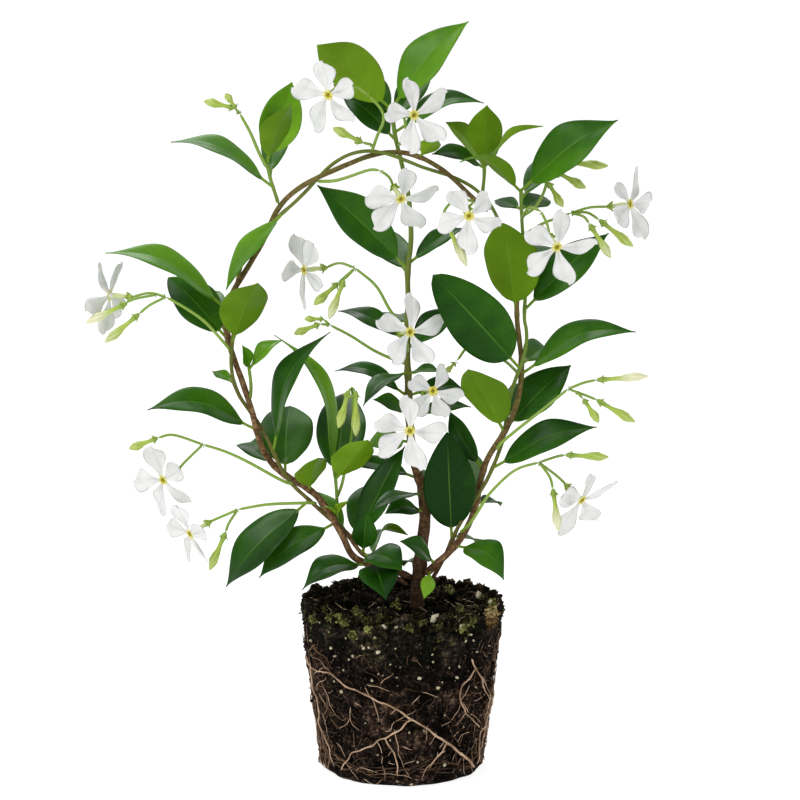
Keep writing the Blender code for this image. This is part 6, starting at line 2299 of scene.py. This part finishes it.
    def loose_crumbs(self) -> Skin:
        """Rounded crumbs on the side and, closer together, on the top.

        Returns:
            The crumbs, blacker and mossier high on the ball.
        """
        draw = np.random.default_rng(Seed.CRUMBS)
        high = self.points[:, 2] > 2 * MM
        spots = self.chosen((0.8 + 1.0 * self.is_top) * high, self.crumbs, Seed.CRUMB_SPOTS)
        sizes = draw.exponential(0.2, (self.crumbs, 1)) + 0.2
        sizes = np.minimum(sizes, 1.2) * draw.uniform(0.6, 1.3, (self.crumbs, 3)) * MM
        tones = draw.uniform(0.0, 1.0, self.crumbs)
        skin = self.dark(scattered(spots, sizes, Solid.TWENTY, 0.3, Seed.CRUMB_TURNS, tones))
        high = eased(skin.points[:, 2], 52 * MM, 58 * MM)
        skin.marks |= {"black": 0.1 + 0.5 * high, "mossy": skin.marks["mossy"] * high}
        return skin

    def spiky_chips(self) -> Skin:
        """Long dark chips and thick clods, most of them along the rim, that make it ragged.

        Returns:
            The chips and clods.
        """
        draw = np.random.default_rng(Seed.CHIPS)
        behind = 0.6 + 0.8 * eased(self.points[:, 1], -10 * MM, 25 * MM)
        weight = self.is_top * (0.25 + eased(self.edge(), 0.65, 0.95) * behind)
        chips = self.chosen(weight, self.chips, Seed.CHIP_SPOTS) + [0, 0, 0.5 * MM]
        long = draw.uniform(0.3, 0.85, (self.chips, 3))
        long[:, 2] = draw.exponential(0.8, self.chips) + 0.8
        long = np.minimum(long, 3.4) * MM
        weight = self.is_top * eased(self.edge(), 0.75, 0.93) * behind**3
        clods = self.chosen(weight, self.clods, Seed.CLOD_SPOTS) + [0, 0, 0.9 * MM]
        thick = draw.uniform(0.8, 2.3, (self.clods, 1)) * draw.uniform(0.6, 1.1, (self.clods, 3))
        spots, sizes = np.vstack([chips, clods]), np.vstack([long, thick * MM])
        tones = draw.uniform(0.0, 1.0, len(spots)) ** 0.8
        return self.dark(scattered(spots, sizes, Solid.EIGHT, 0.35, Seed.CHIP_TURNS, tones))

    def dark(self, skin: Skin) -> Skin:
        """A skin marked as black peat, green here and there.

        Args:
            skin: lumps with a tone.

        Returns:
            The same skin.
        """
        none = 0 * skin.marks["tone"]
        mossy = (skin.marks["tone"] * 7 % 1) ** 2 * 0.7
        skin.marks |= {"mat": none + 0.35, "black": none + 0.3, "mossy": mossy}
        return skin

    def white_grains(self) -> Skin:
        """Perlite: the grains that the photograph shows, and small ones scattered.

        Returns:
            The grains.
        """
        draw = np.random.default_rng(Seed.PERLITE)
        seen = np.array(SEEN_GRAINS)
        spots = self.in_sight(seen, 0.25 * MM)
        sizes = seen[:, 2:] / 2 * draw.uniform(0.6, 1.0, (len(seen), 3)) * MM
        rest = self.chosen(0.8 + self.is_top, self.specks, Seed.SPECK_SPOTS)
        small = np.minimum(draw.exponential(0.14, (self.specks, 1)) + 0.13, 0.8)
        small = small * draw.uniform(0.7, 1.2, (self.specks, 3)) * MM
        tones = 0.35 + 0.09 * seen[:, 2]
        tones = np.concatenate([tones, draw.uniform(0.0, 0.6, self.specks)])
        spots, sizes = np.vstack([spots, rest]), np.vstack([sizes, small])
        return scattered(spots, sizes, Solid.TWENTY, 0.33, Seed.PERLITE_TURNS, tones)

    def heaped(self, places: np.ndarray, radii: np.ndarray, seed: Seed) -> np.ndarray:
        """Spots of grains heaped on the relief round some places in the viewer's sight.

        Args:
            places: (across, up) in millimetres, one a grain.
            radii: how far the grain may lie from its place.
            seed: start of the random spots.

        Returns:
            The spots.
        """
        draw = np.random.default_rng(seed)
        off = draw.normal(0, 0.4, places.shape) * radii[:, None]
        height = np.maximum(1 - (off**2).sum(1) / radii**2, 0) * radii * 0.5
        spots = self.in_sight(places + off, 0)
        return spots - SIGHT * (height * draw.uniform(0, 1, len(height)) * MM)[:, None]

    def moss(self) -> Skin:
        """Moss: the clumps that the photograph shows, and loose grains along the front rim.

        Returns:
            The grains of moss.
        """
        draw = np.random.default_rng(Seed.MOSS)
        clumps = np.repeat(np.array(MOSS_CLUMPS), self.clump_grains, axis=0)
        heaped = self.heaped(clumps[:, :2], clumps[:, 2], Seed.MOSS_HEAPS)
        weight = eased(wandering(self.points, 5 * MM, Seed.MOSS_PATCHES), 0.1, 0.5)
        rim = self.is_top * eased(self.edge(), 0.7, 0.95)
        rim = rim + eased(self.points[:, 2], 57 * MM, 63 * MM)
        weight = weight * (rim * eased(-self.points[:, 1], -10 * MM, 15 * MM) + 0.06 * self.is_top)
        loose = self.chosen(weight, self.moss_grains, Seed.MOSS_SPOTS)
        loose = loose + draw.normal(0, 0.3, loose.shape) * MM
        spots = np.vstack([heaped, loose])
        tones = np.concatenate([clumps[:, 3] * 0.9, np.full(len(loose), 0.25)])
        tones = np.clip(tones + draw.normal(0, 0.22, len(spots)), 0, 1)
        sizes = draw.uniform(0.25, 0.8, (len(spots), 3)) * MM
        return scattered(spots, sizes, Solid.EIGHT, 0.25, Seed.MOSS_TURNS, tones)

    def rust(self) -> Skin:
        """The rusty clump at the rim on the right.

        Returns:
            Its grains.
        """
        draw = np.random.default_rng(Seed.RUST)
        off = draw.uniform(-1, 1, (self.rust_grains, 2)) * self.rust_size
        places = np.array(self.rust_place) + off
        spots = self.heaped(places, np.full(self.rust_grains, 2.4), Seed.RUST_HEAP)
        sizes = draw.uniform(0.35, 0.9, (self.rust_grains, 3)) * MM
        tones = np.clip(0.5 + 0.12 * off[:, 1] + draw.normal(0, 0.22, self.rust_grains), 0, 1)
        return scattered(spots, sizes, Solid.EIGHT, 0.25, Seed.RUST_TURNS, tones)


@dataclass
class Roots:
    """Roots over the ball's side: thick ones as in the CAD model, and many fine ones."""

    ball: RootBall
    thick_lift: float = 0.35 * MM
    thin_lift: float = -0.1 * MM
    matted: int = 5
    matted_radii: tuple = (0.1 * MM, 0.2 * MM, 0.1 * MM)
    seen_radii: tuple = (0.16 * MM, 0.12 * MM, 0.07 * MM)
    thin: tuple = (0.12 * MM, 0.24 * MM)
    hidden: int = 5
    wild: int = 200
    fibres: int = 560
    hairs: int = 2600

    def line(self, turn: np.ndarray, height: np.ndarray, lift: float, step: float) -> np.ndarray:
        """A root's middle line over the side.

        Args:
            turn: angles that it goes through.
            height: its heights there in metres.
            lift: how far off the side it lies.
            step: about how far apart its points lie.

        Returns:
            The line.
        """
        rough = smooth(np.stack([turn, height / BALL_HEIGHT, 0 * turn], 1), 0.02)
        turn, height = (spread(rough[:, k], 4 * len(turn)) for k in (0, 1))
        return smooth(on_side(turn, height * BALL_HEIGHT, lift), step)

    def tube(self, path: np.ndarray, radii: Sequence[float], tone: float, seed: float) -> Skin:
        """A root along a path, kinked and uneven by sines of its own run.

        Args:
            path: its middle line before it is kinked.
            radii: radii spread evenly along it.
            tone: how light it is, 0 to 1.
            seed: its number, for its kinks.

        Returns:
            The root.
        """
        run = run_of(path)[:, None]
        kink = np.sin(run * 900 + seed * 7 + np.array([0, 2, 4])) * 0.2 * MM
        kink = kink + np.sin(run * 430 + seed * 5 + np.array([1, 5, 3])) * 0.32 * MM
        path = path + kink * (1 - np.exp(-run / (2 * MM)))
        radii = spread(radii, len(path)) * (1 + 0.16 * np.sin(run[:, 0] * 1500 + seed * 3))
        tone = tone + 0.16 * np.sin(run[:, 0] * 420 + seed * 5)
        return swept(path, domed(path, radii), 7 if max(radii) > 0.35 * MM else 5, {"tone": tone})

    def hidden_courses(self) -> list[list]:
        """Courses of the thick roots on the far side, drawn as the CAD model draws them.

        Returns:
            Each root's degrees round and millimetres up.
        """
        draw = random.Random(Seed.HIDDEN_ROOTS)
        courses = []
        for number in range(self.hidden):
            turn = 100 + 160 * number / (self.hidden - 1)
            course = [(turn, draw.uniform(30, 52))]
            while course[-1][1] > MATTED_RING_HEIGHT:
                turn += draw.uniform(-22, 22)
                course.append((turn, max(4.5, course[-1][1] - draw.uniform(8, 13))))
            courses.append(course)
        return courses

    def thick_roots(self) -> Skin:
        """The CAD model's own roots and the matted ring at the ball's foot.

        Returns:
            One skin.
        """
        skins = []
        for number, course in enumerate(list(SEEN_ROOTS) + self.hidden_courses()):
            degrees, up = np.array(course, float).T
            path = self.line(np.radians(degrees), up * MM, self.thick_lift, 0.9 * MM)
            radii = MAIN_ROOT_RADII if number == 0 else SIDE_ROOT_RADII
            skins.append(self.tube(path, radii, 0.78 + 0.08 * math.sin(number), number))
        for number in range(self.matted):
            turn = np.radians(np.linspace(0, 340, 60)) + number * 1.3
            wander = MATTED_RING_HEIGHT + 1.5 * np.sin(turn * 5) + 0.9 * np.sin(turn * 9 + number)
            wander = wander + (number - 2) * 0.9
            path = smooth(on_side(turn, wander * MM, self.thin_lift), 1.3 * MM)
            skins.append(self.tube(path, self.matted_radii, 0.12, number))
        return Skin.joined(skins)

    def root_hairs(self) -> Skin:
        """Short stiff hairs of many tints that lie over the side and stand out of it.

        Returns:
            One skin.
        """
        draw = np.random.default_rng(Seed.HAIRS)
        aside = np.abs(self.ball.points[:, 0]) / BALL_TOP_RADIUS
        high = eased(self.ball.points[:, 2], 58 * MM, 50 * MM)
        weight = (1 - self.ball.is_top) * (0.35 + aside**2) * high
        spots = self.ball.chosen(weight, self.hairs, Seed.HAIR_SPOTS)
        sizes = draw.uniform(0.06, 0.12, (self.hairs, 3))
        sizes[:, 2] = 0.3 + draw.exponential(0.45, self.hairs)
        sizes = np.minimum(sizes, 1.7) * MM
        tones = draw.uniform(0.0, 1.0, self.hairs) ** 1.5 * 0.8
        return scattered(spots, sizes, Solid.EIGHT, 0.2, Seed.HAIR_TURNS, tones)

    def fine_roots(self) -> Skin:
        """The finer roots and the litter that the photograph shows, and random fine roots.

        A random one walks over the side: its heading drifts by normal steps from a
        downward lean.

        Returns:
            One skin.
        """
        draw = np.random.default_rng(Seed.FINE_ROOTS)
        skins = []
        for number, course in enumerate(SEEN_FINE_ROOTS + LITTER):
            course = smooth(np.column_stack([np.array(course), np.zeros(len(course))]), 0.9)
            path = self.ball.in_sight(course, 0.15 * MM)
            skins.append(self.tube(path, self.seen_radii, 0.98, number))
        for number in range(self.wild + self.fibres):
            fibre = number >= self.wild
            steps = 6 if fibre else int(draw.integers(6, 14))
            heading = draw.uniform(-2.9, -0.2) + np.cumsum(draw.normal(0, 0.35, steps))
            step = (1.1 if fibre else 1.9) * MM
            start = draw.uniform(0, 2 * math.pi)
            if draw.random() < 0.5:
                start = draw.choice([-1, 1]) * draw.uniform(0.9, 2.2)
            height = draw.uniform(6, 60) * MM + np.cumsum(np.sin(heading)) * step
            height = np.clip(height, 1.5 * MM, BALL_HEIGHT - 3 * MM)
            turn = start + np.cumsum(np.cos(heading)) * step / BALL_BASE_RADIUS
            seen = abs((start + math.pi) % (2 * math.pi) - math.pi) < 0.9
            radius = draw.uniform(*self.thin) * (0.55 if fibre or seen else 0.9)
            lift = draw.uniform(-0.5, 0.1 if seen else 0.25) * MM
            path = smooth(on_side(turn, height, lift), 2 * MM if fibre else 1.3 * MM)
            tone = draw.uniform(0.1, 0.55) if seen else draw.uniform(0.2, 0.65)
            skins.append(self.tube(path, (radius, radius, radius * 0.5), tone, number))
        return Skin.joined(skins)


class Lamp(NamedTuple):
    """A soft square lamp: its name, place and size in metres, and its watts."""

    name: str
    place: tuple
    size: float
    power: float


@dataclass
class Studio:
    """Plain pale floor, soft lights and the camera at the viewer's eye."""

    floor_radius: float = 14.0
    floor_drop: float = 0.1 * MM
    wall: float = 2.2
    sky: float = 0.5
    lamps: tuple = (
        Lamp("key", (-0.75, -0.8, 1.15), 0.7, 8.5),
        Lamp("fill", (1.1, -1.0, 0.5), 0.9, 1.8),
        Lamp("back", (-0.2, 0.7, 1.3), 0.9, 9),
    )

    def floor(self, workshop: Workshop) -> None:
        """A round floor with a low wall round it: rings of points, closed below.

        Args:
            workshop: what the floor is made in.
        """
        turn = turns(64)
        circle = np.stack([np.cos(turn), np.sin(turn), 0 * turn], 1)
        edge = self.floor_radius
        radii = np.array([0.001, 0.2, 1, 4, edge, edge, edge + 0.01, edge + 0.01, 0.001])
        drops = np.array([0, 0, 0, 0, 0, -self.wall, -self.wall, 0.01, 0.01]) + self.floor_drop
        grid = circle * radii[:, None, None] - np.array([0, 0, 1.0]) * drops[:, None, None]
        made = workshop.mesh("studio_floor", rolled(grid, {}), FloorFinish())

    def stand(
        self, name: str, data: bpy.types.ID, place: Sequence, aim: Sequence
    ) -> bpy.types.Object:
        """Put a lamp or a camera into the scene.

        Args:
            name: its name.
            data: the lamp or the camera.
            place: where it stands.
            aim: the way that it looks.

        Returns:
            The object.
        """
        made = bpy.data.objects.new(name, data)
        made.location = Vector(place)
        made.rotation_euler = Vector(aim).to_track_quat("-Z", "Y").to_euler()
        bpy.context.scene.collection.objects.link(made)
        return made

    def lights(self) -> None:
        """White surroundings, and lamps that look at the plant's middle."""
        world = bpy.data.worlds.new("studio")
        world.use_nodes = True
        background = world.node_tree.nodes["Background"]
        background.inputs["Color"].default_value = (1, 1, 1, 1)
        background.inputs["Strength"].default_value = self.sky
        bpy.context.scene.world = world
        for lamp in self.lamps:
            light = bpy.data.lights.new(lamp.name, "AREA")
            light.shape = "SQUARE"
            light.size = lamp.size
            light.energy = lamp.power
            self.stand(lamp.name, light, lamp.place, Vector(LOOKED_AT) - Vector(lamp.place))

    def camera(self) -> None:
        """The camera, whose frame is the photograph's at the hoop's plane."""
        lens = bpy.data.cameras.new("camera")
        lens.sensor_width = SENSOR_WIDTH
        lens.lens = SENSOR_WIDTH * EYE_DISTANCE / PHOTO_WIDTH
        lens.clip_start = 0.05
        lens.clip_end = 60
        bpy.context.scene.camera = self.stand("camera", lens, EYE, SIGHT)
        bpy.context.scene.view_settings.view_transform = "Standard"


def build_plant(workshop: Workshop) -> None:
    """Build the stems, the leaves, the stalks and the blooms.

    Args:
        workshop: what the pieces are made in.
    """
    framework, foliage = Framework(), Foliage()
    stems = framework.lay()
    count = 0
    for number, (name, leaves) in enumerate(framework.leaves().items()):
        bark = framework.skin(name, [index for _, index in leaves], number)
        workshop.piece(f"{name}_bark", bark, BarkFinish(), name)
        if leaves:
            skin = foliage.skin(stems[name], leaves, count)
            workshop.piece(f"{name}_leaves", skin, LeafFinish(), name)
            count += len(leaves)
    stalks = FlowerStalks()
    for name, spray in SPRAYS.items():
        skin = stalks.spray(spray, stems)
        workshop.piece(f"{name}_stalks", skin, StalkFinish(), name)
    for name, fork in CENTRE_STALKS.items():
        skin = stalks.short_stalk(fork, stems)
        workshop.piece(f"{name}_calyx", skin, StalkFinish(), name)
    blossom = Blossom()
    for number, (name, bloom) in enumerate(BLOOMS.items()):
        skin = blossom.skin(bloom, number)
        workshop.piece(f"{name}_petals", skin, PetalFinish(), name)


def build_ball(workshop: Workshop) -> None:
    """Build the root ball and the roots over it.

    Args:
        workshop: what the pieces are made in.
    """
    ball = RootBall()
    roots = Roots(ball)
    for name, build, finish in (
        ("peat", ball.soil, SoilFinish()),
        ("peat_crumbs", ball.loose_crumbs, SoilFinish()),
        ("peat_chips", ball.spiky_chips, SoilFinish()),
        ("perlite_grains", ball.white_grains, PERLITE),
        ("moss_grains", ball.moss, MOSS),
        ("rusty_moss", ball.rust, RUST),
    ):
        workshop.piece(name, build(), finish, "root_ball")
    for name, build in (
        ("thick_roots", roots.thick_roots),
        ("fine_roots", roots.fine_roots),
        ("root_hairs", roots.root_hairs),
    ):
        workshop.piece(name, build(), ROOT_SKIN, "surface_roots")


def main() -> None:
    """Build every piece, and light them."""
    workshop = Workshop()
    studio = Studio()
    studio.camera()
    studio.lights()
    studio.floor(workshop)
    build_plant(workshop)
    build_ball(workshop)
    log.info("all pieces: %d triangles", workshop.triangles)


if __name__ == "__main__":
    main()
